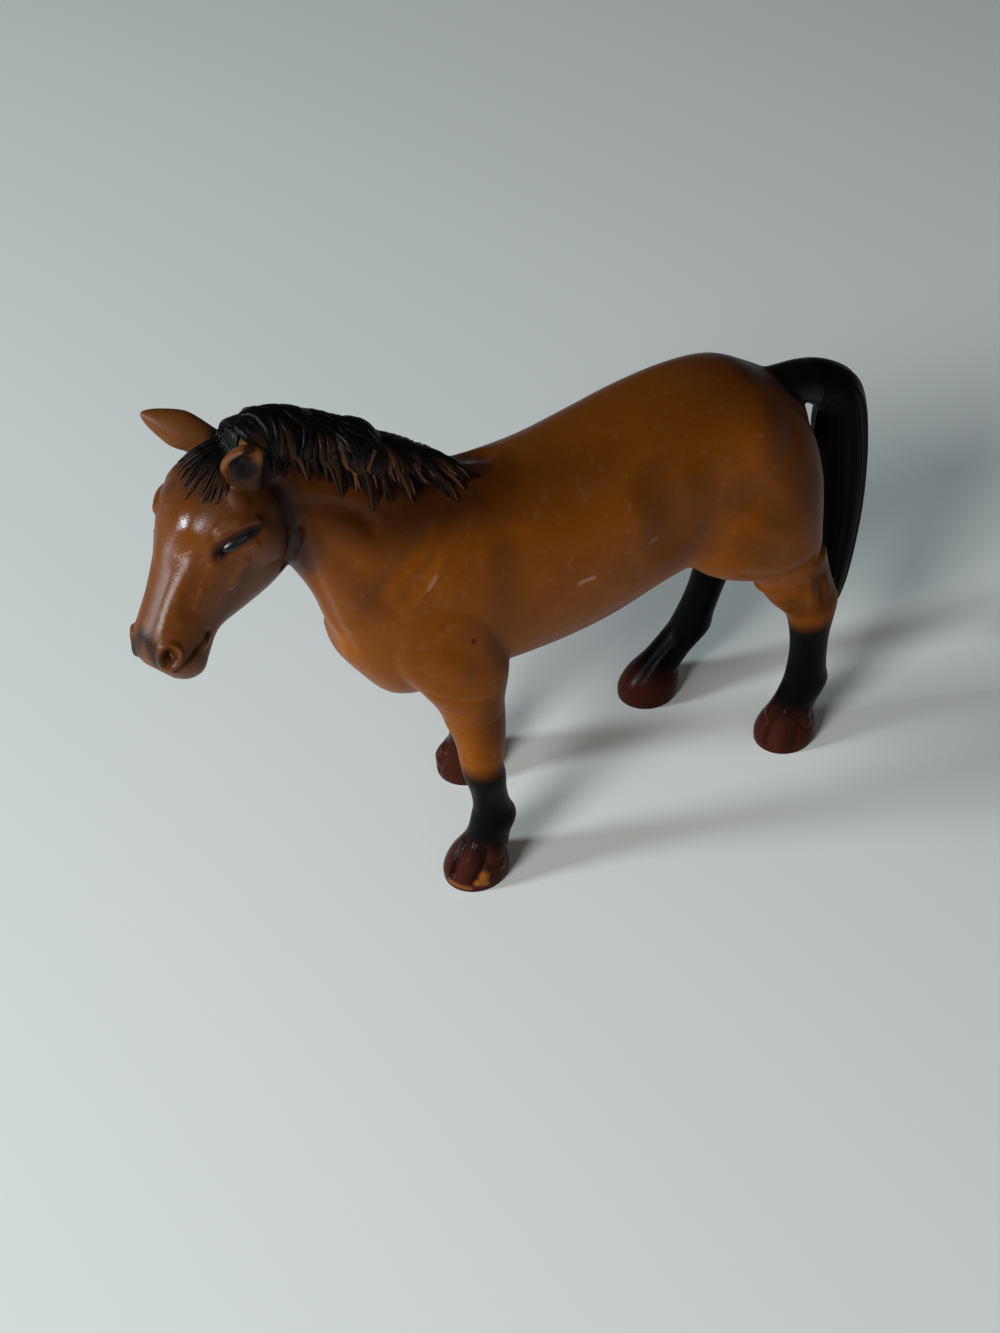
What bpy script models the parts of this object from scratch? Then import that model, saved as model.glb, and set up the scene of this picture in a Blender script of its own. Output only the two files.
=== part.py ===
"""A small moulded toy horse, standing with its head turned to its left, as seven glued pieces.

The whole horse is first formed as one clay figure from slices, the way a modeller builds it up.
The clay is then parted along the seams of the casting, and each piece gets its peg or its sockets.
Metres, +Z up. The horse faces -X, its left side is at -Y, and its hooves stand on z = 0.
"""
import math

import bmesh
import bpy
from mathutils import Matrix, Vector

# Trunk
TRUNK_LENGTH = 0.0920
WITHERS_HEIGHT = 0.0828
BARREL_DEPTH = 0.0386
BARREL_WIDTH = 0.0276

# Neck and mane
NECK_LENGTH = 0.0377
NECK_DEPTH = 0.0368
NECK_WIDTH = 0.0230
MANE_HEIGHT = 0.0042
MANE_WIDTH = 0.0074
MANE_RISE_SHARE = 0.55
LOCK_LENGTH = 0.0130
LOCK_WIDTH = 0.0056
LOCK_THICKNESS = 0.0038
LOCK_STAND = 0.0010
LOCK_COUNT = 8
LOCK_STEPS = 6
LOCK_SWEEP = 0.55
LOCK_TAPER = 0.97
NECK_PINCH = -0.12

# Head
HEAD_LENGTH = 0.0328
HEAD_DEPTH = 0.0226
HEAD_WIDTH = 0.0176
HEAD_TURN = math.radians(28.5)
HEAD_DROP = math.radians(37)
HEAD_LEAN = math.radians(8)
EAR_LENGTH = 0.0090
EAR_WIDTH = 0.0074
EAR_THICKNESS = 0.0042
# The near ear stands up and back, the off ear points outwards: lean out, lean back and turn.
EAR_SPREADS = {-1: math.radians(12), 1: math.radians(44)}
EAR_SWEEPS = {-1: math.radians(22), 1: math.radians(-4)}
EAR_TWISTS = {-1: math.radians(58), 1: math.radians(88)}

# Legs and hooves
STANCE_WIDTH = 0.0232
FORELEG_DEPTH = 0.0106
FORELEG_WIDTH = 0.0099
SHOULDER_DEPTH = 0.0220
SHOULDER_WIDTH = 0.0130
HIND_LEG_DEPTH = 0.0165
HIND_LEG_WIDTH = 0.0088
THIGH_DEPTH = 0.0280
THIGH_WIDTH = 0.0147
HOOF_LENGTH = 0.0120
HOOF_WIDTH = 0.0108
HOOF_HEIGHT = 0.0068
OFF_FORELEG_STEP = 0.0112
OFF_HIND_LEG_STEP = -0.0163

# Tail
TAIL_DROP = 0.0600
TAIL_REACH = 0.0240
TAIL_THICKNESS = 0.0082
TAIL_WIDTH = 0.0086

# Seams between the castings, with their pegs
SEAM_GAP = 0.0003
SEAM_DROP = 0.0008
PEG_CLEARANCE = 0.0003
LEG_PEG_RADIUS = 0.0018
LEG_PEG_LENGTH = 0.0050
PEG_ROOT = 0.0015
HEAD_PEG_RADIUS = 0.0026
HEAD_PEG_LENGTH = 0.0050
TAIL_PEG_RADIUS = 0.0015
TAIL_PEG_LENGTH = 0.0040
HEAD_SEAM_TILT = math.radians(10)
HEAD_SEAM_TURN = math.radians(8)
THROAT_TILT = math.radians(40)
CUT_REACH = 0.2000

# Squareness of the ovals: 2 is an ellipse
OVAL = 2.0
TRUNK_FULLNESS = 2.3
TRUNK_PINCH = -0.05
HEAD_FULLNESS = 2.3

# Clay
CLAY_VOXEL = 0.0010
RING_POINTS = 32
SMOOTHING_ROUNDS = 5
SUBSTEPS = 4
TRIANGLE_SHARE = 0.14
PEG_POINTS = 20

# Slices of the trunk from rump to chest: place along the trunk, top of the slice as a share of
# the withers' height, depth as a share of the barrel's depth, width of the barrel's width.
TRUNK_SHARES = (
    (0.502, 0.858, 0.34, 0.24),
    (0.490, 0.898, 0.58, 0.50),
    (0.457, 0.936, 0.77, 0.72),
    (0.405, 0.975, 0.91, 0.90),
    (0.340, 1.014, 0.99, 1.02),
    (0.250, 1.032, 1.04, 1.03),
    (0.150, 1.020, 1.02, 1.02),
    (0.050, 0.996, 0.99, 1.02),
    (-0.050, 0.977, 0.97, 1.01),
    (-0.150, 0.978, 0.98, 0.98),
    (-0.240, 0.992, 1.02, 0.90),
    (-0.320, 0.975, 1.00, 0.86),
    (-0.390, 0.920, 0.83, 0.76),
    (-0.438, 0.855, 0.54, 0.57),
    (-0.466, 0.785, 0.28, 0.32),
)

# Slices of the neck from withers to poll: crest ahead of and above the withers as shares of the
# neck's length, the angle from crest to throat in degrees, depth and width as shares of the
# neck's own, and how far the slice lies to the right as a share of the neck's length.
NECK_SHARES = (
    (-0.20, -0.09, -121, 1.06, 1.00, 0.00),
    (0.00, 0.00, -125, 1.00, 0.96, 0.00),
    (0.17, 0.06, -127, 0.85, 0.80, 0.00),
    (0.34, 0.16, -123, 0.715, 0.68, 0.01),
    (0.51, 0.26, -118, 0.61, 0.60, 0.04),
    (0.68, 0.35, -111, 0.535, 0.56, 0.08),
    (0.85, 0.40, -100, 0.455, 0.56, 0.12),
    (0.97, 0.38, -98, 0.38, 0.48, 0.15),
)
WITHERS_SHARE = -0.20
POLL_SHARES = (0.98, 0.33, 0.16)

# Slices of the head from poll to lips: place along the head and height of the slice's top as
# shares of the head's length, depth and width as shares of the head's own, and the pinch that
# makes the forehead wider than the jaw.
HEAD_SHARES = (
    (-0.06, 0.02, 0.55, 0.56, 0.00),
    (0.04, 0.075, 0.90, 0.84, 0.10),
    (0.17, 0.100, 1.06, 1.02, 0.16),
    (0.30, 0.095, 1.06, 1.06, 0.20),
    (0.43, 0.070, 0.99, 0.88, 0.22),
    (0.57, 0.040, 0.82, 0.70, 0.16),
    (0.71, 0.012, 0.63, 0.58, 0.05),
    (0.83, -0.010, 0.59, 0.60, -0.04),
    (0.92, -0.030, 0.58, 0.62, -0.04),
    (0.985, -0.085, 0.43, 0.49, 0.00),
    (1.015, -0.150, 0.24, 0.26, 0.00),
)
EAR_PLACE_SHARES = {-1: (0.08, 0.19, 0.06), 1: (-0.02, 0.17, 0.04)}
# Slices of an ear from root to tip: place, width, thickness, hollow of its front.
EAR_SHARES = (
    (-0.15, 0.86, 1.10, 0.0),
    (0.10, 0.94, 1.05, 0.2),
    (0.34, 1.00, 1.00, 0.45),
    (0.62, 0.84, 0.92, 0.45),
    (0.84, 0.54, 0.70, 0.2),
    (1.00, 0.18, 0.30, 0.0),
)

# Slices of a shoulder, a foreleg, a thigh and a hind leg from top to bottom: front edge as a
# share of the trunk's length, height as a share of the withers' height, depth and width as
# shares of the limb's own, and the middle's distance from the trunk's middle as a share of half
# the stance.
SHOULDER_SHARES = (
    (-0.400, 0.84, 0.86, 0.80, 0.40),
    (-0.418, 0.76, 1.00, 1.00, 0.52),
    (-0.408, 0.67, 0.97, 1.03, 0.66),
    (-0.362, 0.59, 0.76, 0.96, 0.82),
    (-0.326, 0.52, 0.54, 0.82, 0.92),
    (-0.310, 0.46, 0.44, 0.72, 0.97),
)
FORELEG_SHARES = (
    (-0.328, 0.540, 1.12, 1.12, 0.92),
    (-0.310, 0.465, 0.96, 0.98, 0.98),
    (-0.294, 0.400, 0.82, 0.84, 1.00),
    (-0.286, 0.340, 0.71, 0.76, 1.00),
    (-0.279, 0.295, 0.70, 0.78, 1.00),
    (-0.266, 0.245, 0.61, 0.66, 1.00),
    (-0.260, 0.195, 0.63, 0.64, 1.00),
    (-0.264, 0.155, 0.78, 0.76, 1.00),
    (-0.272, 0.115, 0.74, 0.74, 1.00),
    (-0.288, 0.075, 0.82, 0.86, 1.00),
)
THIGH_SHARES = (
    (0.250, 0.93, 0.62, 0.62, 0.40),
    (0.222, 0.85, 0.86, 0.88, 0.52),
    (0.213, 0.76, 0.97, 1.00, 0.66),
    (0.226, 0.67, 0.96, 0.99, 0.78),
    (0.255, 0.60, 0.84, 0.86, 0.86),
    (0.300, 0.54, 0.66, 0.72, 0.91),
    (0.345, 0.485, 0.54, 0.62, 0.94),
)
HIND_LEG_SHARES = (
    (0.300, 0.560, 1.24, 1.24, 0.90),
    (0.345, 0.500, 1.02, 1.06, 0.94),
    (0.395, 0.445, 0.84, 0.90, 0.97),
    (0.435, 0.405, 0.69, 0.82, 1.00),
    (0.452, 0.365, 0.58, 0.80, 1.00),
    (0.464, 0.310, 0.48, 0.74, 1.00),
    (0.470, 0.250, 0.45, 0.72, 1.00),
    (0.468, 0.195, 0.49, 0.75, 1.00),
    (0.463, 0.155, 0.56, 0.82, 1.00),
    (0.446, 0.110, 0.55, 0.80, 1.00),
    (0.428, 0.075, 0.58, 0.90, 1.00),
)
# Slices of a hoof from coronet to sole: height, toe ahead of the hoof's middle, length, width.
HOOF_SHARES = (
    (1.30, 0.36, 0.76, 0.74),
    (1.00, 0.42, 0.86, 0.86),
    (0.55, 0.48, 0.94, 0.95),
    (0.05, 0.52, 1.00, 1.00),
    (-0.25, 0.53, 1.01, 1.01),
)
FORE_HOOF_SHARE = -0.257
HIND_HOOF_SHARE = 0.479

# Slices of the tail from dock to tip: reach behind the dock, drop below it, the angle from the
# outer edge to the inner edge in degrees, thickness and width.
TAIL_SHARES = (
    (-0.14, -0.010, -90, 0.72, 0.70),
    (0.10, 0.000, -88, 0.84, 0.80),
    (0.34, 0.015, -98, 0.94, 0.92),
    (0.58, 0.055, -120, 1.02, 1.00),
    (0.78, 0.125, -145, 1.08, 1.06),
    (0.90, 0.250, -165, 1.12, 1.10),
    (0.97, 0.430, -175, 1.12, 1.10),
    (1.00, 0.640, -180, 1.05, 1.04),
    (1.00, 0.850, -180, 0.88, 0.92),
    (0.97, 0.980, -180, 0.55, 0.62),
    (0.92, 1.030, -180, 0.20, 0.24),
)
DOCK_SHARES = (0.435, 0.958)
FORE_BELLY_SHARES = (-0.40, 0.00)
HIND_BELLY_SHARES = (0.00, 0.45)
TAIL_SEAM_SHARE = 0.530
HEAD_SEAM_SHARES = (0.88, 0.40, 0.12)
HEAD_PEG_SHARES = (-0.05, -0.42)
THROAT_SHARE = 1.02
TAIL_REGION_SHARE = 0.65
SWING_HEIGHT_SHARE = 0.535
SWING_BEND = 1.15

SHARP_ANGLE = math.radians(40)
GLOSS = 0.32
COAT = (0.42, 0.155, 0.030, 1.0)
TAIL_BLACK = (0.012, 0.011, 0.011, 1.0)


def clear_scene():
    """Removes whatever the file holds before the horse is built."""
    for thing in list(bpy.data.objects):
        bpy.data.objects.remove(thing, do_unlink=True)


def smooth_rows(rows, steps=SUBSTEPS):
    """Returns the rows with steps more between each two, on a smooth curve through them all."""
    ends = [rows[0]] + list(rows) + [rows[-1]]
    out = []
    for i in range(1, len(ends) - 2):
        before, here, after, beyond = ends[i - 1:i + 3]
        for step in range(steps):
            t = step / steps
            out.append(tuple(
                0.5 * (2 * b + (c - a) * t + (2 * a - 5 * b + 4 * c - d) * t ** 2
                       + (3 * b - a - 3 * c + d) * t ** 3)
                for a, b, c, d in zip(before, here, after, beyond)))
    return out + [tuple(rows[-1])]


def place_ring(verts, angle_layer, fullness, middle, up, side, pinch, hollow):
    """Moves a ring's points onto an oval with the given half axes about its middle."""
    for vert in verts:
        angle = vert[angle_layer]
        rise = math.copysign(abs(math.sin(angle)) ** (2 / fullness), math.sin(angle))
        swing = math.copysign(abs(math.cos(angle)) ** (2 / fullness), math.cos(angle))
        dent = 1 - hollow * (1 - abs(swing)) if rise > 0 else 1
        vert.co = middle + up * (rise * dent) + side * (swing * (1 + pinch * rise))


def loft(name, slices, fullness=OVAL):
    """Returns a closed skin over slices, each of them middle, up, side, pinch and hollow.

    A fullness of 2 makes ovals, and more makes them squarer.
    """
    bm = bmesh.new()
    layer = bm.verts.layers.float.new("angle")
    ring = bmesh.ops.create_circle(bm, segments=RING_POINTS, radius=1.0)["verts"]
    for vert in ring:
        vert[layer] = math.atan2(vert.co.y, vert.co.x)
    edges = list(bm.edges)
    place_ring(ring, layer, fullness, *slices[0])
    bmesh.ops.edgeloop_fill(bm, edges=edges)
    for one in slices[1:]:
        grown = bmesh.ops.extrude_edge_only(bm, edges=edges)["geom"]
        ring = [item for item in grown if isinstance(item, bmesh.types.BMVert)]
        edges = [item for item in grown if isinstance(item, bmesh.types.BMEdge)
                 and all(vert in ring for vert in item.verts)]
        place_ring(ring, layer, fullness, *one)
    bmesh.ops.edgeloop_fill(bm, edges=edges)
    bmesh.ops.recalc_face_normals(bm, faces=bm.faces)
    return new_object(name, bm)


def new_object(name, bm):
    """Turns a bmesh into an object of the scene."""
    mesh = bpy.data.meshes.new(name)
    bm.to_mesh(mesh)
    bm.free()
    thing = bpy.data.objects.new(name, mesh)
    bpy.context.collection.objects.link(thing)
    return thing


def edge_slice(x, y, z, angle, depth, width, pinch=0.0):
    """Returns a slice that starts at an edge point and reaches depth away at an angle."""
    reach = Vector((math.cos(angle), 0, math.sin(angle)))
    middle = Vector((x, y, z)) + reach * depth / 2
    return middle, -reach * depth / 2, Vector((0, width / 2, 0)), pinch, 0.0


def trunk():
    """Barrel, chest and rump."""
    return loft("trunk", [
        edge_slice(x * TRUNK_LENGTH, 0, top * WITHERS_HEIGHT, math.radians(-90),
                   depth * BARREL_DEPTH, width * BARREL_WIDTH, TRUNK_PINCH)
        for x, top, depth, width in smooth_rows(TRUNK_SHARES)], TRUNK_FULLNESS)


def withers():
    """Point on the trunk's top where the neck starts."""
    return Vector((WITHERS_SHARE * TRUNK_LENGTH, 0, WITHERS_HEIGHT))


def crest_point(ahead, above, right=0.0):
    """Point given by shares of the neck's length from the withers."""
    return withers() + NECK_LENGTH * Vector((-ahead, right, above))


def neck():
    """Neck from inside the shoulders to inside the head."""
    return loft("neck", [
        edge_slice(*crest_point(ahead, above, right), math.radians(angle),
                   depth * NECK_DEPTH, width * NECK_WIDTH, NECK_PINCH)
        for ahead, above, angle, depth, width, right in smooth_rows(NECK_SHARES)])


def crest_rows():
    """Neck rows that the mane follows, without those inside the shoulders."""
    return smooth_rows(NECK_SHARES)[SUBSTEPS:]


def mane_ridge():
    """Ridge of hair along the crest."""
    slices = []
    rows = crest_rows()
    for i, (ahead, above, angle, _, _, right) in enumerate(rows):
        swell = math.sin(math.pi / 2 * min(1, (i + 1) / len(rows) / MANE_RISE_SHARE))
        lift = Vector((math.cos(math.radians(angle)), 0, math.sin(math.radians(angle))))
        middle = crest_point(ahead, above, right)
        slices.append((middle, -lift * MANE_HEIGHT * swell,
                       Vector((0, MANE_WIDTH / 2 * swell, 0)), 0.0, 0.0))
    return loft("mane_ridge", slices)


def mane_lock(share):
    """One pointed lock that falls down the left side of the neck."""
    rows = crest_rows()
    ahead, above, angle, depth, width, right = rows[round(share * (len(rows) - 1))]
    top = crest_point(ahead, above, right)
    down = Vector((math.cos(math.radians(angle)), 0, math.sin(math.radians(angle))))
    back = Vector((1, 0, 0))
    half = width * NECK_WIDTH / 2
    slices = []
    for step in range(LOCK_STEPS + 1):
        t = step / LOCK_STEPS
        level = 1 - 2 * LOCK_LENGTH * t / (depth * NECK_DEPTH)
        skin = half * math.sqrt(1 - level ** 2) * (1 + NECK_PINCH * level)
        middle = top + (down + back * LOCK_SWEEP * t) * LOCK_LENGTH * t - Vector((0, skin + LOCK_STAND, 0))
        taper = math.sqrt(1 - LOCK_TAPER * t ** 2)
        slices.append((middle, Vector((0, -LOCK_THICKNESS / 2 * taper, 0)),
                       back * LOCK_WIDTH / 2 * taper, 0.0, 0.0))
    return loft("mane_lock", slices)


def head_frame():
    """Matrix from the head's own axes, with its poll at the origin, to the standing horse."""
    ahead, above, right = POLL_SHARES
    return (Matrix.Translation(crest_point(ahead, above, right))
            @ Matrix.Rotation(HEAD_TURN, 4, "Z")
            @ Matrix.Rotation(-HEAD_DROP, 4, "Y")
            @ Matrix.Rotation(-HEAD_LEAN, 4, "X"))


def skull():
    """Head without its ears, along -X from the poll."""
    skin = loft("skull", [
        edge_slice(-along * HEAD_LENGTH, 0, top * HEAD_LENGTH, math.radians(-90),
                   depth * HEAD_DEPTH, width * HEAD_WIDTH, pinch)
        for along, top, depth, width, pinch in smooth_rows(HEAD_SHARES)], HEAD_FULLNESS)
    skin.data.transform(head_frame())
    return skin


def ear(side):
    """One ear, a hollow leaf that leans outwards. side is -1 on the left and 1 on the right."""
    along, out, up = EAR_PLACE_SHARES[side]
    root = HEAD_LENGTH * Vector((-along, side * out, up))
    lean = (Matrix.Rotation(-side * EAR_SPREADS[side], 3, "X")
            @ Matrix.Rotation(EAR_SWEEPS[side], 3, "Y"))
    turn = EAR_TWISTS[side]
    axis = lean @ Vector((0, 0, 1))
    opening = lean @ Vector((-math.cos(turn), side * math.sin(turn), 0))
    breadth = axis.cross(opening)
    skin = loft("ear", [
        (root + axis * place * EAR_LENGTH, opening * thick * EAR_THICKNESS / 2,
         breadth * width * EAR_WIDTH / 2, 0.0, hollow)
        for place, width, thick, hollow in smooth_rows(EAR_SHARES)])
    skin.data.transform(head_frame())
    return skin


def swing_share(height):
    """Share of a limb's step that reaches a height: all of it on the ground, none at the top."""
    return max(0, 1 - height / SWING_HEIGHT_SHARE) ** SWING_BEND


def limb(name, shares, depth_size, width_size, side, step):
    """A limb from slices; step moves its foot along the trunk and its top not at all."""
    slices = []
    for front, height, depth, width, out in smooth_rows(shares):
        z = height * WITHERS_HEIGHT
        x = front * TRUNK_LENGTH + step * swing_share(height)
        slices.append(edge_slice(x, side * out * STANCE_WIDTH / 2, z, 0,
                                 depth * depth_size, width * width_size))
    return loft(name, slices)


def hoof(name, middle_share, side, step):
    """A hoof that runs a little below the ground, where its sole is cut flat."""
    middle = middle_share * TRUNK_LENGTH + step
    return loft(name, [
        edge_slice(middle - toe * HOOF_LENGTH, side * STANCE_WIDTH / 2, height * HOOF_HEIGHT, 0,
                   length * HOOF_LENGTH, width * HOOF_WIDTH)
        for height, toe, length, width in smooth_rows(HOOF_SHARES)])


def dock():
    """Point on the rump where the tail leaves it."""
    along, height = DOCK_SHARES
    return Vector((along * TRUNK_LENGTH, 0, height * WITHERS_HEIGHT))


def tail():
    """Tail that leaves the dock level, bends down and hangs behind the hocks."""
    start = dock()
    return loft("tail_form", [
        edge_slice(start.x + reach * TAIL_REACH, 0, start.z - drop * TAIL_DROP,
                   math.radians(angle), thick * TAIL_THICKNESS, width * TAIL_WIDTH)
        for reach, drop, angle, thick, width in smooth_rows(TAIL_SHARES)])


def apply_modifiers(thing):
    """Bakes an object's modifiers into its mesh."""
    graph = bpy.context.evaluated_depsgraph_get()
    mesh = bpy.data.meshes.new_from_object(thing.evaluated_get(graph))
    thing.modifiers.clear()
    thing.data = mesh


def fuse(forms):
    """Melts the forms into one clay body with soft transitions."""
    bm = bmesh.new()
    for form in forms:
        bm.from_mesh(form.data)
        bpy.data.objects.remove(form, do_unlink=True)
    clay = new_object("clay", bm)
    melt = clay.modifiers.new("melt", "REMESH")
    melt.mode = "VOXEL"
    melt.voxel_size = CLAY_VOXEL
    stroke = clay.modifiers.new("stroke", "SMOOTH")
    stroke.factor = 0.5
    stroke.iterations = SMOOTHING_ROUNDS
    thin = clay.modifiers.new("thin", "DECIMATE")
    thin.ratio = TRIANGLE_SHARE
    apply_modifiers(clay)
    return clay


def clay_horse():
    """The whole figure before it is parted."""
    forms = [trunk(), neck(), mane_ridge(), skull(), ear(-1), ear(1), tail()]
    forms += [mane_lock((i + 0.5) / LOCK_COUNT) for i in range(LOCK_COUNT)]
    for side, fore_step, hind_step in ((-1, 0.0, 0.0), (1, OFF_FORELEG_STEP, OFF_HIND_LEG_STEP)):
        forms.append(limb("shoulder", SHOULDER_SHARES, SHOULDER_DEPTH, SHOULDER_WIDTH, side, 0.0))
        forms.append(limb("foreleg", FORELEG_SHARES, FORELEG_DEPTH, FORELEG_WIDTH, side, fore_step))
        forms.append(limb("thigh", THIGH_SHARES, THIGH_DEPTH, THIGH_WIDTH, side, 0.0))
        forms.append(limb("hind_leg", HIND_LEG_SHARES, HIND_LEG_DEPTH, HIND_LEG_WIDTH,
                          side, hind_step))
        forms.append(hoof("fore_hoof", FORE_HOOF_SHARE, side, fore_step))
        forms.append(hoof("hind_hoof", HIND_HOOF_SHARE, side, hind_step))
    return fuse(forms)


def belly_height(low, high):
    """Lowest point of the trunk between two places along it, given as shares of its length."""
    return min(top * WITHERS_HEIGHT - depth * BARREL_DEPTH
               for place, top, depth, _ in TRUNK_SHARES if low <= place <= high)


def limb_middle(shares, depth_size, side, step, height):
    """Middle of a limb at a height, where its peg stands."""
    nearest = min(smooth_rows(shares), key=lambda row: abs(row[1] * WITHERS_HEIGHT - height))
    front, level, depth, _, out = nearest
    return Vector((front * TRUNK_LENGTH + step * swing_share(level) + depth * depth_size / 2,
                   side * out * STANCE_WIDTH / 2, height))


def block(low, high):
    """A cutter in the shape of a box between two corners."""
    bm = bmesh.new()
    bmesh.ops.create_cube(bm, size=1.0)
    low, high = Vector(low), Vector(high)
    bmesh.ops.scale(bm, verts=bm.verts, vec=high - low)
    bmesh.ops.translate(bm, verts=bm.verts, vec=(low + high) / 2)
    return new_object("cutter", bm)


def rod(start, axis, radius, length):
    """A round rod from a point along an axis, for a peg or its socket."""
    bm = bmesh.new()
    bmesh.ops.create_cone(bm, cap_ends=True, segments=PEG_POINTS, radius1=radius,
                          radius2=radius, depth=length)
    bmesh.ops.translate(bm, verts=bm.verts, vec=(0, 0, length / 2))
    turn = Vector((0, 0, 1)).rotation_difference(axis).to_matrix().to_4x4()
    bmesh.ops.transform(bm, matrix=Matrix.Translation(start) @ turn, verts=bm.verts)
    return new_object("rod", bm)


def combine(thing, other, operation):
    """Joins, cuts or keeps what two solids share, and removes the second."""
    boolean = thing.modifiers.new("shape", "BOOLEAN")
    boolean.operation = operation
    boolean.solver = "EXACT"
    boolean.object = other
    apply_modifiers(thing)
    bpy.data.objects.remove(other, do_unlink=True)


def part_off(name, body, region, peg_start, peg_axis, radius, length):
    """Parts a piece off the body inside a region, and gives it a peg and the body a socket.

    region takes a growth and returns the cutter, so that the body keeps a gap to the piece.
    """
    piece = bpy.data.objects.new(name, body.data.copy())
    bpy.context.collection.objects.link(piece)
    combine(piece, region(0.0), "INTERSECT")
    combine(body, region(SEAM_GAP), "DIFFERENCE")
    root = peg_start - peg_axis * PEG_ROOT
    combine(piece, rod(root, peg_axis, radius, PEG_ROOT + length), "UNION")
    combine(body, rod(root, peg_axis, radius + PEG_CLEARANCE,
                      PEG_ROOT + length + PEG_CLEARANCE), "DIFFERENCE")
    return piece, peg_start


def part_legs(body):
    """Parts off the four legs under the belly."""
    up = Vector((0, 0, 1))
    fore_seam = belly_height(*FORE_BELLY_SHARES) - SEAM_DROP
    hind_seam = belly_height(*HIND_BELLY_SHARES) - SEAM_DROP
    limbs = (("foreleg", FORELEG_SHARES, FORELEG_DEPTH, fore_seam, -1, OFF_FORELEG_STEP),
             ("hind_leg", HIND_LEG_SHARES, HIND_LEG_DEPTH, hind_seam, 1, OFF_HIND_LEG_STEP))
    pieces = []
    for name, shares, depth_size, seam, end, off_step in limbs:
        for label, side, step in (("left", -1, 0.0), ("right", 1, off_step)):
            def region(growth, end=end, side=side, seam=seam):
                corners = ((0, 0, -CUT_REACH), (end * CUT_REACH, side * CUT_REACH, seam + growth))
                low = [min(pair) for pair in zip(*corners)]
                high = [max(pair) for pair in zip(*corners)]
                return block(low, high)
            start = limb_middle(shares, depth_size, side, step, seam)
            pieces.append(part_off(f"{name}_{label}", body, region, start, up,
                                   LEG_PEG_RADIUS, LEG_PEG_LENGTH))
    return pieces


def part_head(body):
    """Parts off the head behind the jaw and the ears."""
    seam = (Matrix.Translation(crest_point(*HEAD_SEAM_SHARES))
            @ Matrix.Rotation(HEAD_SEAM_TURN, 4, "Z") @ Matrix.Rotation(-HEAD_SEAM_TILT, 4, "Y"))
    throat = (seam @ Matrix.Translation((0, 0, -THROAT_SHARE * HEAD_DEPTH))
              @ Matrix.Rotation(-THROAT_TILT, 4, "Y"))

    def region(growth):
        cutter = block((-CUT_REACH, -CUT_REACH, -CUT_REACH), (growth, CUT_REACH, CUT_REACH))
        cutter.data.transform(seam)
        below = block((-CUT_REACH, -CUT_REACH, -growth), (CUT_REACH, CUT_REACH, CUT_REACH))
        below.data.transform(throat)
        combine(cutter, below, "INTERSECT")
        return cutter

    aside, down = HEAD_PEG_SHARES
    start = seam @ (HEAD_DEPTH * Vector((0, aside, down)))
    axis = seam.to_3x3() @ Vector((1, 0, 0))
    return part_off("head", body, region, start, axis, HEAD_PEG_RADIUS, HEAD_PEG_LENGTH)


def part_tail(body):
    """Parts off the tail behind the dock."""
    seam = TAIL_SEAM_SHARE * TRUNK_LENGTH
    side = TAIL_REGION_SHARE * TAIL_WIDTH

    def region(growth):
        return block((seam - growth, -side, dock().z - TAIL_DROP - TAIL_THICKNESS),
                     (CUT_REACH, side, CUT_REACH))

    start = Vector((seam, 0, dock().z - TAIL_THICKNESS / 2))
    return part_off("tail", body, region, start, Vector((-1, 0, 0)),
                    TAIL_PEG_RADIUS, TAIL_PEG_LENGTH)


def paint(thing, name, colour, roughness):
    """Gives a piece its own plain material."""
    material = bpy.data.materials.new(name)
    material.use_nodes = True
    shader = material.node_tree.nodes["Principled BSDF"]
    shader.inputs["Base Color"].default_value = colour
    shader.inputs["Roughness"].default_value = roughness
    shader.inputs["Metallic"].default_value = 0.0
    thing.data.materials.clear()
    thing.data.materials.append(material)


def finish(thing, origin, shift):
    """Puts a piece's origin at its seam, moves the piece into the row's frame and shades it."""
    thing.data.transform(Matrix.Translation(-origin))
    thing.location = origin + shift
    thing.data.shade_smooth()
    thing.data.set_sharp_from_angle(angle=SHARP_ANGLE)


def centring(things):
    """Shift that brings the middle of the whole horse's box over the origin."""
    points = [vert.co for thing in things for vert in thing.data.vertices]
    middles = [(min(p[axis] for p in points) + max(p[axis] for p in points)) / 2
               for axis in (0, 1)]
    return Vector((-middles[0], -middles[1], 0))


def main():
    clear_scene()
    body = clay_horse()
    body.name = "body"
    combine(body, block((-CUT_REACH, -CUT_REACH, 0), (CUT_REACH,) * 3), "INTERSECT")
    pieces = [part_tail(body), part_head(body)] + part_legs(body)
    pieces.append((body, Vector((0, 0, WITHERS_HEIGHT / 2))))
    shift = centring([thing for thing, _ in pieces])
    for thing, origin in pieces:
        colour = TAIL_BLACK if thing.name == "tail" else COAT
        paint(thing, thing.name + "_finish", colour, GLOSS)
        finish(thing, origin, shift)


main()
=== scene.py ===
"""A small moulded toy horse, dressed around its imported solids.

The horse is formed again as fine clay from slices, carved, parted along the seams of the casting,
and painted. Hair is laid on as pointed strands. The horse faces -X and its left side is at -Y.
"""

import logging
import math
import random
from dataclasses import dataclass, field
from enum import Enum

import bmesh
import bpy
import numpy as np
from mathutils import Matrix, Vector
from mathutils.bvhtree import BVHTree
from mathutils.kdtree import KDTree


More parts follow.
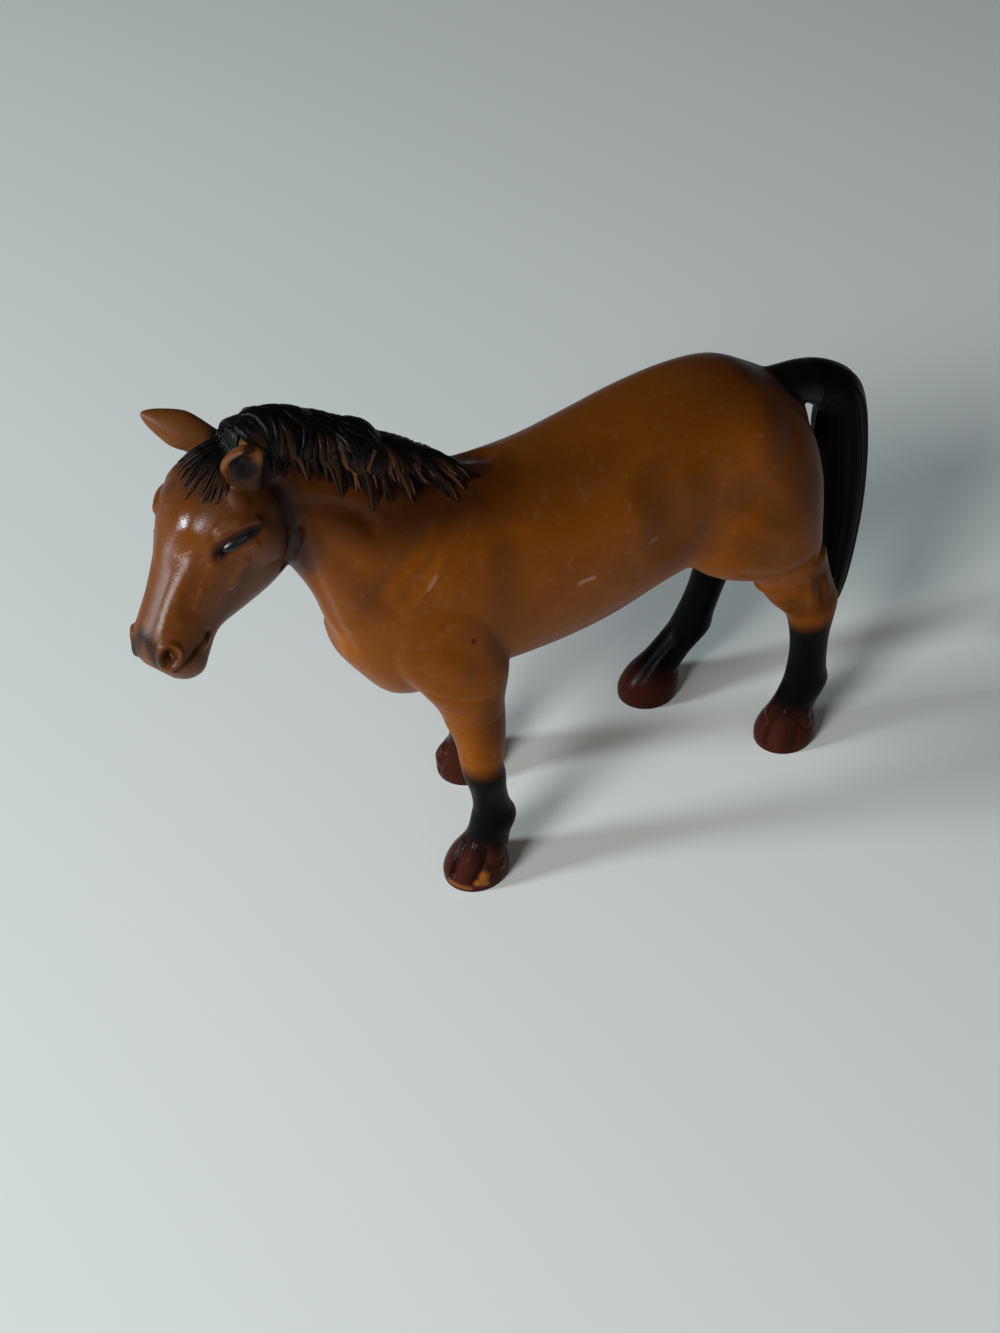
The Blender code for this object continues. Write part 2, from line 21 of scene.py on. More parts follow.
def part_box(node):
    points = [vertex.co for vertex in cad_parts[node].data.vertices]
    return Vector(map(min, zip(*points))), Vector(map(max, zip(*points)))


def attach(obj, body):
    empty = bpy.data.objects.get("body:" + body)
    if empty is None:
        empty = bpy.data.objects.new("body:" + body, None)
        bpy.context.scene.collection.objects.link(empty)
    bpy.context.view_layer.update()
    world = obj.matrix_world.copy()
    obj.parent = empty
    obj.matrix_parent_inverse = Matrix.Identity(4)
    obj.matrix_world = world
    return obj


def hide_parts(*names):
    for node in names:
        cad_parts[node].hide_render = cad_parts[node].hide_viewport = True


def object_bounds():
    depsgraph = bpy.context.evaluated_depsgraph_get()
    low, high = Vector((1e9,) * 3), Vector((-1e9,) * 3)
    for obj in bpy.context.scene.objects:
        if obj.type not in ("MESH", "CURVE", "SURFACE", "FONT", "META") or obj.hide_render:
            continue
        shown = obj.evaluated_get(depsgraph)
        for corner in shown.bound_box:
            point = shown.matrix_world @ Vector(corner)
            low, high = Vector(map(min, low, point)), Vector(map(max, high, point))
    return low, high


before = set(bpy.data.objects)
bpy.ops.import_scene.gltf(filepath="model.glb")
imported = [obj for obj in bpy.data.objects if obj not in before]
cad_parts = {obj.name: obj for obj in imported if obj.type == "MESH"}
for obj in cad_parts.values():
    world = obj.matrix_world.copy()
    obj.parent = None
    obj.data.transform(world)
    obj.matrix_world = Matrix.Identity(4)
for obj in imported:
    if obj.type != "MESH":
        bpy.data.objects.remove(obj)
CAD_BOX = [list(corner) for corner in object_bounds()]

LOG = logging.getLogger("toy_horse")
MM = 0.001
ROOT = "root"
RING_POINTS = 40
SUBSTEPS = 4


class Side(Enum):
    """The horse's own left and right."""

    LEFT = -1
    RIGHT = 1


@dataclass(frozen=True)
class Slice:
    """One oval cross-section of a form."""

    middle: Vector
    up: Vector
    side: Vector
    pinch: float = 0.0
    hollow: float = 0.0


def smooth_rows(rows: tuple, steps: int = SUBSTEPS) -> list:
    """Puts more rows between each two, on a smooth curve through them all.

    Args:
        rows: Rows of numbers, all of the same length.
        steps: How many rows each stretch becomes.

    Returns:
        The finer list of rows.
    """
    ends = [rows[0]] + list(rows) + [rows[-1]]
    out = []
    for i in range(1, len(ends) - 2):
        before, here, after, beyond = ends[i - 1:i + 3]
        for step in range(steps):
            t = step / steps
            out.append(tuple(
                0.5 * (2 * b + (c - a) * t + (2 * a - 5 * b + 4 * c - d) * t ** 2
                       + (3 * b - a - 3 * c + d) * t ** 3)
                for a, b, c, d in zip(before, here, after, beyond)))
    return out + [tuple(rows[-1])]


def new_object(name: str, bm: bmesh.types.BMesh) -> bpy.types.Object:
    """Turns a bmesh into an object of the scene."""
    mesh = bpy.data.meshes.new(name)
    bm.to_mesh(mesh)
    bm.free()
    thing = bpy.data.objects.new(name, mesh)
    bpy.context.collection.objects.link(thing)
    return thing


def place_ring(verts: list, layer: bmesh.types.BMLayerItem, fullness: float, one: Slice,
               relief=None) -> None:
    """Moves a ring's points onto the oval of a slice.

    Args:
        verts: The ring's points, each of which keeps its angle in the layer.
        layer: The layer that holds the angles.
        fullness: 2 for an oval, more for a squarer shape.
        one: The slice.
        relief: A function from an angle to a factor on the distance from the middle.
    """
    for vert in verts:
        angle = vert[layer]
        rise = math.copysign(abs(math.sin(angle)) ** (2 / fullness), math.sin(angle))
        swing = math.copysign(abs(math.cos(angle)) ** (2 / fullness), math.cos(angle))
        dent = 1 - one.hollow * (1 - abs(swing)) if rise > 0 else 1
        out = one.up * (rise * dent) + one.side * (swing * (1 + one.pinch * rise))
        vert.co = one.middle + out * (relief(angle) if relief else 1)


def loft(name: str, slices: list, fullness: float = 2.0, points: int = RING_POINTS,
         reliefs: list = None) -> bpy.types.Object:
    """Builds a closed skin over slices.

    Args:
        name: The object's name.
        slices: Slices from one end to the other.
        fullness: 2 for ovals, more for squarer ones.
        points: Points round each ring.
        reliefs: One relief function for each slice, or nothing.

    Returns:
        The new object.
    """
    bm = bmesh.new()
    layer = bm.verts.layers.float.new("angle")
    ring = bmesh.ops.create_circle(bm, segments=points, radius=1.0)["verts"]
    for vert in ring:
        vert[layer] = math.atan2(vert.co.y, vert.co.x)
    edges = list(bm.edges)
    reliefs = reliefs or [None] * len(slices)
    place_ring(ring, layer, fullness, slices[0], reliefs[0])
    bmesh.ops.edgeloop_fill(bm, edges=edges)
    for one, relief in zip(slices[1:], reliefs[1:]):
        grown = bmesh.ops.extrude_edge_only(bm, edges=edges)["geom"]
        ring = {item for item in grown if isinstance(item, bmesh.types.BMVert)}
        edges = [item for item in grown if isinstance(item, bmesh.types.BMEdge)
                 and all(vert in ring for vert in item.verts)]
        place_ring(ring, layer, fullness, one, relief)
    bmesh.ops.edgeloop_fill(bm, edges=edges)
    bmesh.ops.recalc_face_normals(bm, faces=bm.faces)
    bm.verts.layers.float.remove(layer)
    return new_object(name, bm)


def edge_slice(x: float, y: float, z: float, angle: float, depth: float, width: float,
               pinch: float = 0.0) -> Slice:
    """Makes a slice that starts at an edge point and reaches depth away at an angle."""
    reach = Vector((math.cos(angle), 0, math.sin(angle)))
    middle = Vector((x, y, z)) + reach * depth / 2
    return Slice(middle, -reach * depth / 2, Vector((0, width / 2, 0)), pinch)


def apply_modifiers(thing: bpy.types.Object) -> None:
    """Bakes an object's modifiers into its mesh."""
    graph = bpy.context.evaluated_depsgraph_get()
    mesh = bpy.data.meshes.new_from_object(thing.evaluated_get(graph))
    thing.modifiers.clear()
    thing.data = mesh


def fuse(name: str, forms: list, voxel: float, rounds: int) -> bpy.types.Object:
    """Melts forms into one skin with soft transitions.

    Args:
        name: The skin's name.
        forms: The objects to melt, which are removed.
        voxel: Size of the skin's faces.
        rounds: Rounds of smoothing.

    Returns:
        The skin.
    """
    bm = bmesh.new()
    for form in forms:
        bm.from_mesh(form.data)
        bpy.data.objects.remove(form, do_unlink=True)
    skin = new_object(name, bm)
    melt = skin.modifiers.new("melt", "REMESH")
    melt.mode = "VOXEL"
    melt.voxel_size = voxel
    stroke = skin.modifiers.new("stroke", "SMOOTH")
    stroke.factor = 0.5
    stroke.iterations = rounds
    apply_modifiers(skin)
    return skin


@dataclass
class Trunk:
    """Barrel, chest and rump."""

    length: float = 0.0920
    height: float = 0.0828
    depth: float = 0.0386
    width: float = 0.0276
    fullness: float = 2.3
    pinch: float = -0.05
    # Place along the trunk, top, depth and width of each slice
    shares: tuple = (
        (0.502, 0.858, 0.34, 0.24),
        (0.490, 0.898, 0.58, 0.50),
        (0.457, 0.936, 0.77, 0.72),
        (0.405, 0.975, 0.91, 0.90),
        (0.340, 1.014, 0.95, 0.98),
        (0.250, 1.032, 0.975, 0.93),
        (0.150, 1.020, 0.975, 0.975),
        (0.050, 0.996, 0.98, 1.01),
        (-0.050, 0.977, 0.97, 1.01),
        (-0.150, 0.978, 0.98, 0.98),
        (-0.240, 0.992, 1.02, 0.90),
        (-0.320, 0.975, 1.00, 0.86),
        (-0.390, 0.920, 0.83, 0.76),
        (-0.438, 0.855, 0.54, 0.57),
        (-0.466, 0.785, 0.28, 0.32),
    )

    def form(self) -> bpy.types.Object:
        """Builds the trunk's form."""
        return loft("trunk", [
            edge_slice(x * self.length, 0, top * self.height, math.radians(-90),
                       depth * self.depth, width * self.width, self.pinch)
            for x, top, depth, width in smooth_rows(self.shares)], self.fullness)


@dataclass
class Neck:
    """Neck from inside the shoulders to inside the head, with the ridge of the mane."""

    trunk: Trunk
    length: float = 0.0377
    depth: float = 0.0368
    width: float = 0.0230
    pinch: float = -0.12
    ridge_height: float = 0.0034
    ridge_width: float = 0.0074
    ridge_rise_share: float = 0.55
    withers_share: float = -0.20
    poll_shares: tuple = (0.98, 0.33, 0.16)
    # Crest ahead of and above the withers, angle to the throat, depth, width, place to the right
    shares: tuple = (
        (-0.20, -0.09, -121, 1.06, 1.00, 0.00),
        (0.00, 0.00, -125, 1.00, 0.96, 0.00),
        (0.17, 0.06, -127, 0.85, 0.80, 0.00),
        (0.34, 0.16, -123, 0.715, 0.68, 0.01),
        (0.51, 0.26, -118, 0.61, 0.60, 0.04),
        (0.68, 0.35, -111, 0.535, 0.56, 0.08),
        (0.85, 0.40, -100, 0.455, 0.56, 0.12),
        (0.97, 0.38, -98, 0.38, 0.48, 0.15),
    )

    def crest(self, ahead: float, above: float, right: float = 0.0) -> Vector:
        """Gives the point at these shares of the neck's length from the withers."""
        withers = Vector((self.withers_share * self.trunk.length, 0, self.trunk.height))
        return withers + self.length * Vector((-ahead, right, above))

    def form(self) -> bpy.types.Object:
        """Builds the neck's form."""
        return loft("neck", [
            edge_slice(*self.crest(ahead, above, right), math.radians(angle),
                       depth * self.depth, width * self.width, self.pinch)
            for ahead, above, angle, depth, width, right in smooth_rows(self.shares)])

    def crest_rows(self) -> list:
        """Gives the rows that the mane follows, without those inside the shoulders."""
        return smooth_rows(self.shares)[SUBSTEPS:]

    def ridge(self) -> bpy.types.Object:
        """Builds the ridge of hair along the crest."""
        rows = self.crest_rows()
        slices = []
        for i, (ahead, above, angle, _, _, right) in enumerate(rows):
            swell = math.sin(math.pi / 2 * min(1, (i + 1) / len(rows) / self.ridge_rise_share))
            lift = Vector((math.cos(math.radians(angle)), 0, math.sin(math.radians(angle))))
            slices.append(Slice(self.crest(ahead, above, right), -lift * self.ridge_height * swell,
                                Vector((0, self.ridge_width / 2 * swell, 0))))
        return loft("mane_ridge", slices)


@dataclass
class Head:
    """Skull and ears, in axes of their own with the poll at the origin and the face along -X."""

    neck: Neck
    length: float = 0.0328
    depth: float = 0.0226
    width: float = 0.0176
    fullness: float = 2.3
    turn: float = math.radians(28.5)
    drop: float = math.radians(37)
    lean: float = math.radians(8)
    ear_thickness: float = 0.0038
    ear_lengths: dict = field(default_factory=lambda: {Side.LEFT: 0.0080, Side.RIGHT: 0.0086})
    ear_widths: dict = field(default_factory=lambda: {Side.LEFT: 0.0064, Side.RIGHT: 0.0056})
    ear_curls: dict = field(default_factory=lambda: {Side.LEFT: 0.42, Side.RIGHT: 0.05})
    ear_spreads: dict = field(default_factory=lambda: {
        Side.LEFT: math.radians(12), Side.RIGHT: math.radians(44)})
    ear_sweeps: dict = field(default_factory=lambda: {
        Side.LEFT: math.radians(22), Side.RIGHT: math.radians(-4)})
    ear_twists: dict = field(default_factory=lambda: {
        Side.LEFT: math.radians(58), Side.RIGHT: math.radians(88)})
    ear_shares: dict = field(default_factory=lambda: {
        Side.LEFT: (0.045, 0.185, 0.06), Side.RIGHT: (-0.02, 0.17, 0.04)})
    # Place along the head, top, depth, width and pinch of each slice
    shares: tuple = (
        (-0.06, 0.02, 0.55, 0.56, 0.00),
        (0.04, 0.075, 0.90, 0.84, 0.10),
        (0.17, 0.100, 1.06, 1.02, 0.16),
        (0.30, 0.095, 1.06, 1.06, 0.20),
        (0.43, 0.070, 0.99, 0.88, 0.22),
        (0.57, 0.040, 0.82, 0.70, 0.16),
        (0.71, 0.012, 0.63, 0.58, 0.05),
        (0.83, -0.010, 0.59, 0.60, -0.04),
        (0.92, -0.030, 0.58, 0.62, -0.04),
        (0.985, -0.085, 0.43, 0.49, 0.00),
        (1.015, -0.150, 0.24, 0.26, 0.00),
    )
    # Place, width, thickness and hollow of each slice of an ear
    leaf_shares: tuple = (
        (-0.60, 0.60, 0.95, 0.0),
        (-0.18, 0.84, 1.05, 0.0),
        (0.08, 1.00, 1.10, 0.5),
        (0.32, 1.04, 1.02, 1.1),
        (0.60, 0.78, 0.84, 1.1),
        (0.84, 0.46, 0.60, 0.5),
        (1.00, 0.12, 0.22, 0.0),
    )

    def frame(self) -> Matrix:
        """Gives the matrix from the head's own axes to the standing horse."""
        return (Matrix.Translation(self.neck.crest(*self.neck.poll_shares))
                @ Matrix.Rotation(self.turn, 4, "Z")
                @ Matrix.Rotation(-self.drop, 4, "Y")
                @ Matrix.Rotation(-self.lean, 4, "X"))

    def skull(self) -> bpy.types.Object:
        """Builds the head without its ears."""
        skin = loft("skull", [
            edge_slice(-along * self.length, 0, top * self.length, math.radians(-90),
                       depth * self.depth, width * self.width, pinch)
            for along, top, depth, width, pinch in smooth_rows(self.shares)], self.fullness)
        skin.data.transform(self.frame())
        return skin

    def ear_lean(self, side: Side) -> Matrix:
        """Gives the turn of an ear from upright, in the head's own axes."""
        return (Matrix.Rotation(-side.value * self.ear_spreads[side], 3, "X")
                @ Matrix.Rotation(self.ear_sweeps[side], 3, "Y"))

    def ear_root(self, side: Side) -> Vector:
        """Gives the place of an ear's root, in the head's own axes."""
        along, out, up = self.ear_shares[side]
        return self.length * Vector((-along, side.value * out, up))

    def ear_opening(self, side: Side) -> Vector:
        """Gives the way in which an ear is open, in the head's own axes."""
        turn = self.ear_twists[side]
        return self.ear_lean(side) @ Vector((-math.cos(turn), side.value * math.sin(turn), 0))

    def ear_middle(self, side: Side, share: float) -> Vector:
        """Gives the middle of an ear at a share of its length, in the head's own axes."""
        axis = self.ear_lean(side) @ Vector((0, 0, 1))
        curl = self.ear_curls[side] * max(share, 0) ** 2
        return self.ear_root(side) + self.ear_lengths[side] * (
            axis * share + self.ear_opening(side) * curl)

    def ear_line(self, side: Side) -> list:
        """Gives points along an ear above the skull, in the horse's coordinates."""
        return [self.frame() @ self.ear_middle(side, share)
                for share in (0.15, 0.35, 0.55, 0.75, 0.95)]

    def ear(self, side: Side) -> bpy.types.Object:
        """Builds one ear, a hollow leaf that leans outwards."""
        axis = self.ear_lean(side) @ Vector((0, 0, 1))
        opening = self.ear_opening(side)
        breadth = axis.cross(opening)
        skin = loft("ear", [
            Slice(self.ear_middle(side, place), opening * thick * self.ear_thickness / 2,
                  breadth * width * self.ear_widths[side] / 2, 0.0, hollow)
            for place, width, thick, hollow in smooth_rows(self.leaf_shares)])
        skin.data.transform(self.frame())
        return skin


@dataclass
class Limb:
    """One leg with its shoulder or thigh, and its hoof."""

    name: str
    trunk: Trunk
    side: Side
    step: float
    depth: float
    width: float
    mass_depth: float
    mass_width: float
    hoof_share: float
    shares: tuple
    mass_shares: tuple
    stance: float = 0.0232
    hoof_length: float = 0.0120
    hoof_width: float = 0.0108
    hoof_height: float = 0.0068
    swing_height_share: float = 0.535
    swing_bend: float = 1.15
    fetlock_share: float = 0.155
    pastern_share: float = 0.70
    hoof_lag_share: float = 0.5
    # Height, toe ahead of the middle, length and width of each slice of the hoof
    hoof_shares: tuple = (
        (1.50, 0.06, 0.30, 0.42),
        (1.25, 0.16, 0.44, 0.54),
        (0.98, 0.29, 0.66, 0.70),
        (0.65, 0.43, 0.89, 0.90),
        (0.28, 0.52, 1.01, 1.01),
        (0.05, 0.52, 1.01, 1.00),
        (-0.25, 0.50, 0.97, 0.96),
    )

    def swing(self, height: float) -> float:
        """Gives the share of the step that reaches a height."""
        share = max(0.0, 1 - height / self.swing_height_share) ** self.swing_bend
        low = max(0.0, 1 - height / self.fetlock_share) * self.pastern_share
        return share + (1 - share) * low

    def tube(self, name: str, shares: tuple, depth: float, width: float,
             step: float) -> bpy.types.Object:
        """Builds a stretch of the limb from its slices."""
        slices = []
        for front, height, deep, wide, out in smooth_rows(shares):
            x = front * self.trunk.length + step * self.swing(height)
            slices.append(edge_slice(x, self.side.value * out * self.stance / 2,
                                     height * self.trunk.height, 0, deep * depth, wide * width))
        return loft(name, slices)

    def middle(self) -> float:
        """Gives the hoof's middle along the trunk."""
        return self.hoof_share * self.trunk.length + self.step

    def hoof(self) -> bpy.types.Object:
        """Builds the hoof, which runs a little below the ground."""
        slices = []
        for height, toe, deep, wide in smooth_rows(self.hoof_shares):
            rise = max(height, 0) * self.hoof_height / self.trunk.height
            lag = self.step * (self.swing(rise) - self.swing(0)) * self.hoof_lag_share
            slices.append(edge_slice(self.middle() - toe * self.hoof_length + lag,
                                     self.side.value * self.stance / 2,
                                     height * self.hoof_height, 0, deep * self.hoof_length,
                                     wide * self.hoof_width))
        return loft("hoof", slices)

    def forms(self) -> list:
        """Builds the limb's forms."""
        return [self.tube("mass", self.mass_shares, self.mass_depth, self.mass_width, 0.0),
                self.tube("shank", self.shares, self.depth, self.width, self.step),
                self.hoof()]


FORELEG_SHARES = (
    (-0.328, 0.540, 1.12, 1.12, 0.92),
    (-0.310, 0.465, 0.96, 0.98, 0.98),
    (-0.294, 0.400, 0.82, 0.84, 1.00),
    (-0.286, 0.340, 0.71, 0.76, 1.00),
    (-0.279, 0.295, 0.70, 0.78, 1.00),
    (-0.266, 0.245, 0.61, 0.66, 1.00),
    (-0.260, 0.195, 0.63, 0.64, 1.00),
    (-0.264, 0.155, 0.78, 0.76, 1.00),
    (-0.272, 0.115, 0.74, 0.74, 1.00),
    (-0.288, 0.075, 0.82, 0.86, 1.00),
)
SHOULDER_SHARES = (
    (-0.400, 0.84, 0.86, 0.80, 0.40),
    (-0.418, 0.76, 1.00, 1.00, 0.52),
    (-0.408, 0.67, 0.97, 1.03, 0.66),
    (-0.362, 0.59, 0.76, 0.96, 0.82),
    (-0.326, 0.52, 0.54, 0.82, 0.92),
    (-0.310, 0.46, 0.44, 0.72, 0.97),
)
HIND_LEG_SHARES = (
    (0.338, 0.560, 1.00, 1.20, 0.90),
    (0.372, 0.500, 0.88, 1.06, 0.94),
    (0.403, 0.445, 0.80, 0.90, 0.97),
    (0.435, 0.405, 0.69, 0.82, 1.00),
    (0.452, 0.365, 0.58, 0.80, 1.00),
    (0.464, 0.310, 0.48, 0.74, 1.00),
    (0.470, 0.250, 0.45, 0.72, 1.00),
    (0.468, 0.195, 0.49, 0.75, 1.00),
    (0.463, 0.155, 0.56, 0.82, 1.00),
    (0.446, 0.110, 0.55, 0.80, 1.00),
    (0.428, 0.075, 0.58, 0.90, 1.00),
)
THIGH_SHARES = (
    (0.250, 0.93, 0.62, 0.62, 0.40),
    (0.218, 0.85, 0.88, 0.88, 0.52),
    (0.200, 0.76, 1.00, 1.00, 0.66),
    (0.193, 0.69, 1.03, 1.00, 0.76),
    (0.210, 0.635, 0.97, 0.92, 0.84),
    (0.262, 0.59, 0.80, 0.80, 0.89),
    (0.345, 0.55, 0.50, 0.62, 0.93),
    (0.365, 0.50, 0.42, 0.56, 0.94),
)


def make_limbs(trunk: Trunk) -> list:
    """Lists the four legs of the horse standing on the trunk's stance."""
    fore = dict(trunk=trunk, depth=0.0106, width=0.0099, mass_depth=0.0220, mass_width=0.0130,
                hoof_share=-0.257, shares=FORELEG_SHARES, mass_shares=SHOULDER_SHARES)
    hind = dict(trunk=trunk, depth=0.0165, width=0.0088, mass_depth=0.0280, mass_width=0.0147,
                hoof_share=0.479, shares=HIND_LEG_SHARES, mass_shares=THIGH_SHARES)
    return [Limb("foreleg_left", side=Side.LEFT, step=0.0, **fore),
            Limb("foreleg_right", side=Side.RIGHT, step=0.0112, **fore),
            Limb("hind_leg_left", side=Side.LEFT, step=0.0, **hind),
            Limb("hind_leg_right", side=Side.RIGHT, step=-0.0163, **hind)]


@dataclass
class Tail:
    """Tail that leaves the dock level, bends down and hangs behind the hocks."""

    trunk: Trunk
    drop: float = 0.0600
    reach: float = 0.0240
    thickness: float = 0.0082
    width: float = 0.0086
    dock_shares: tuple = (0.435, 0.958)
    seam_share: float = 0.530
    peg_length: float = 0.0040
    groove_depth_share: float = 0.075
    # Reach, drop, angle from outer to inner edge, thickness and width of each slice
    shares: tuple = (
        (-0.14, -0.010, -90, 0.72, 0.70),
        (0.10, 0.000, -88, 0.84, 0.80),
        (0.34, 0.015, -98, 0.94, 0.92),
        (0.58, 0.055, -120, 1.02, 1.00),
        (0.78, 0.125, -145, 1.08, 1.06),
        (0.90, 0.250, -165, 1.28, 1.10),
        (0.97, 0.430, -175, 1.26, 1.10),
        (1.00, 0.640, -180, 1.18, 1.04),
        (0.975, 0.850, -180, 1.00, 0.92),
        (0.93, 0.980, -180, 0.62, 0.62),
        (0.89, 1.030, -180, 0.22, 0.24),
    )

    def dock(self) -> Vector:
        """Gives the point on the rump where the tail leaves it."""
        along, height = self.dock_shares
        return Vector((along * self.trunk.length, 0, height * self.trunk.height))

    def slices(self) -> list:
        """Lists the tail's slices from dock to tip."""
        start = self.dock()
        return [
            edge_slice(start.x + reach * self.reach, 0, start.z - drop * self.drop,
                       math.radians(angle), thick * self.thickness, width * self.width)
            for reach, drop, angle, thick, width in smooth_rows(self.shares)]

    def form(self) -> bpy.types.Object:
        """Builds the tail's plain form."""
        return loft("tail_form", self.slices())

    def combed(self) -> bpy.types.Object:
        """Builds the tail with the grooves between its strands."""
        start = self.dock()
        rows = smooth_rows(self.shares, 14)
        slices, reliefs = [], []
        for i, (reach, drop, angle, thick, width) in enumerate(rows):
            share = i / (len(rows) - 1)
            # The grooves start past the dock and reach their depth soon after it
            depth = self.groove_depth_share * min(1.0, max(0.0, (share - 0.24) / 0.2))
            slices.append(edge_slice(start.x + reach * self.reach, 0, start.z - drop * self.drop,
                                     math.radians(angle), thick * self.thickness,
                                     width * self.width))
            reliefs.append(lambda turn, share=share, depth=depth: 1 - depth * (
                0.5 * abs(math.sin(5.5 * turn + 1.3 + 0.9 * math.sin(3 * share)))
                + 0.35 * abs(math.sin(9.5 * turn + 2.2 - 1.6 * share))
                + 0.25 * abs(math.sin(16 * turn + 3.0 * share)) - 0.35))
        return loft("tail_form", slices, 2.0, 128, reliefs)

    def seam(self) -> float:
        """Gives the place along X where the tail is parted from the body."""
        return self.seam_share * self.trunk.length


@dataclass(frozen=True)
class PhotoView:
    """The photograph's viewpoint on the standing horse, in an image of 1000 by 1333 pixels."""

    azimuth: float = math.radians(-29.80)
    elevation: float = math.radians(44.41)
    place: tuple = (-0.1354, -0.2150, 0.2782)
    focal_pixels: float = 2000.0
    image_width: int = 1000
    image_height: int = 1333
    sensor: float = 36.0

    def back(self) -> Vector:
        """Gives the direction from the horse to the camera."""
        flat = math.cos(self.elevation)
        return Vector((math.sin(self.azimuth) * flat, -math.cos(self.azimuth) * flat,
                       math.sin(self.elevation)))

    def ray(self, pixel: tuple) -> Vector:
        """Gives the direction in which a pixel of the photograph looks."""
        right = Vector((math.cos(self.azimuth), math.sin(self.azimuth), 0))
        up = right.cross(-self.back())
        across = (pixel[0] - self.image_width / 2) / self.focal_pixels
        down = (pixel[1] - self.image_height / 2) / self.focal_pixels
        return (-self.back() + right * across - up * down).normalized()

    def pixel(self, point: Vector) -> tuple:
        """Gives the pixel of the photograph that shows a point."""
        right = Vector((math.cos(self.azimuth), math.sin(self.azimuth), 0))
        up = right.cross(-self.back())
        way = point - Vector(self.place)
        scale = self.focal_pixels / way.dot(-self.back())
        return (self.image_width / 2 + scale * way.dot(right),
                self.image_height / 2 - scale * way.dot(up))

    def make_camera(self, shift: Vector) -> None:
        """Sets the scene's camera to this view."""
        data = bpy.data.cameras.new("photo_view")
        data.sensor_width = self.sensor
        data.lens = self.focal_pixels / self.image_height * self.sensor
        data.clip_start = 0.01
        camera = bpy.data.objects.new("photo_view", data)
        camera.location = Vector(self.place) + shift
        camera.rotation_euler = (-self.back()).to_track_quat("-Z", "Y").to_euler()
        bpy.context.collection.objects.link(camera)
        bpy.context.scene.camera = camera


class Mirror(Enum):
    """How a stroke seen on the left side is repeated on the right side."""

    NONE = "none"
    BODY = "body"
    HEAD = "head"


@dataclass(frozen=True)
class Stroke:
    """A stroke of a tool or a brush along a line seen in the photograph."""

    pixels: list
    radius: float
    strength: float
    mirror: Mirror


def strokes(unit: float, rows: tuple) -> list:
    """Makes strokes from rows of radius in millimetres, strength, mirror and pixels.

    Args:
        unit: What the strengths are counted in: MM where they move the skin, 1 where they paint.
        rows: The rows.

    Returns:
        The strokes, in the rows' order.
    """
    return [Stroke(pixels, radius * MM, strength * unit, mirror)
            for radius, strength, mirror, *pixels in rows]


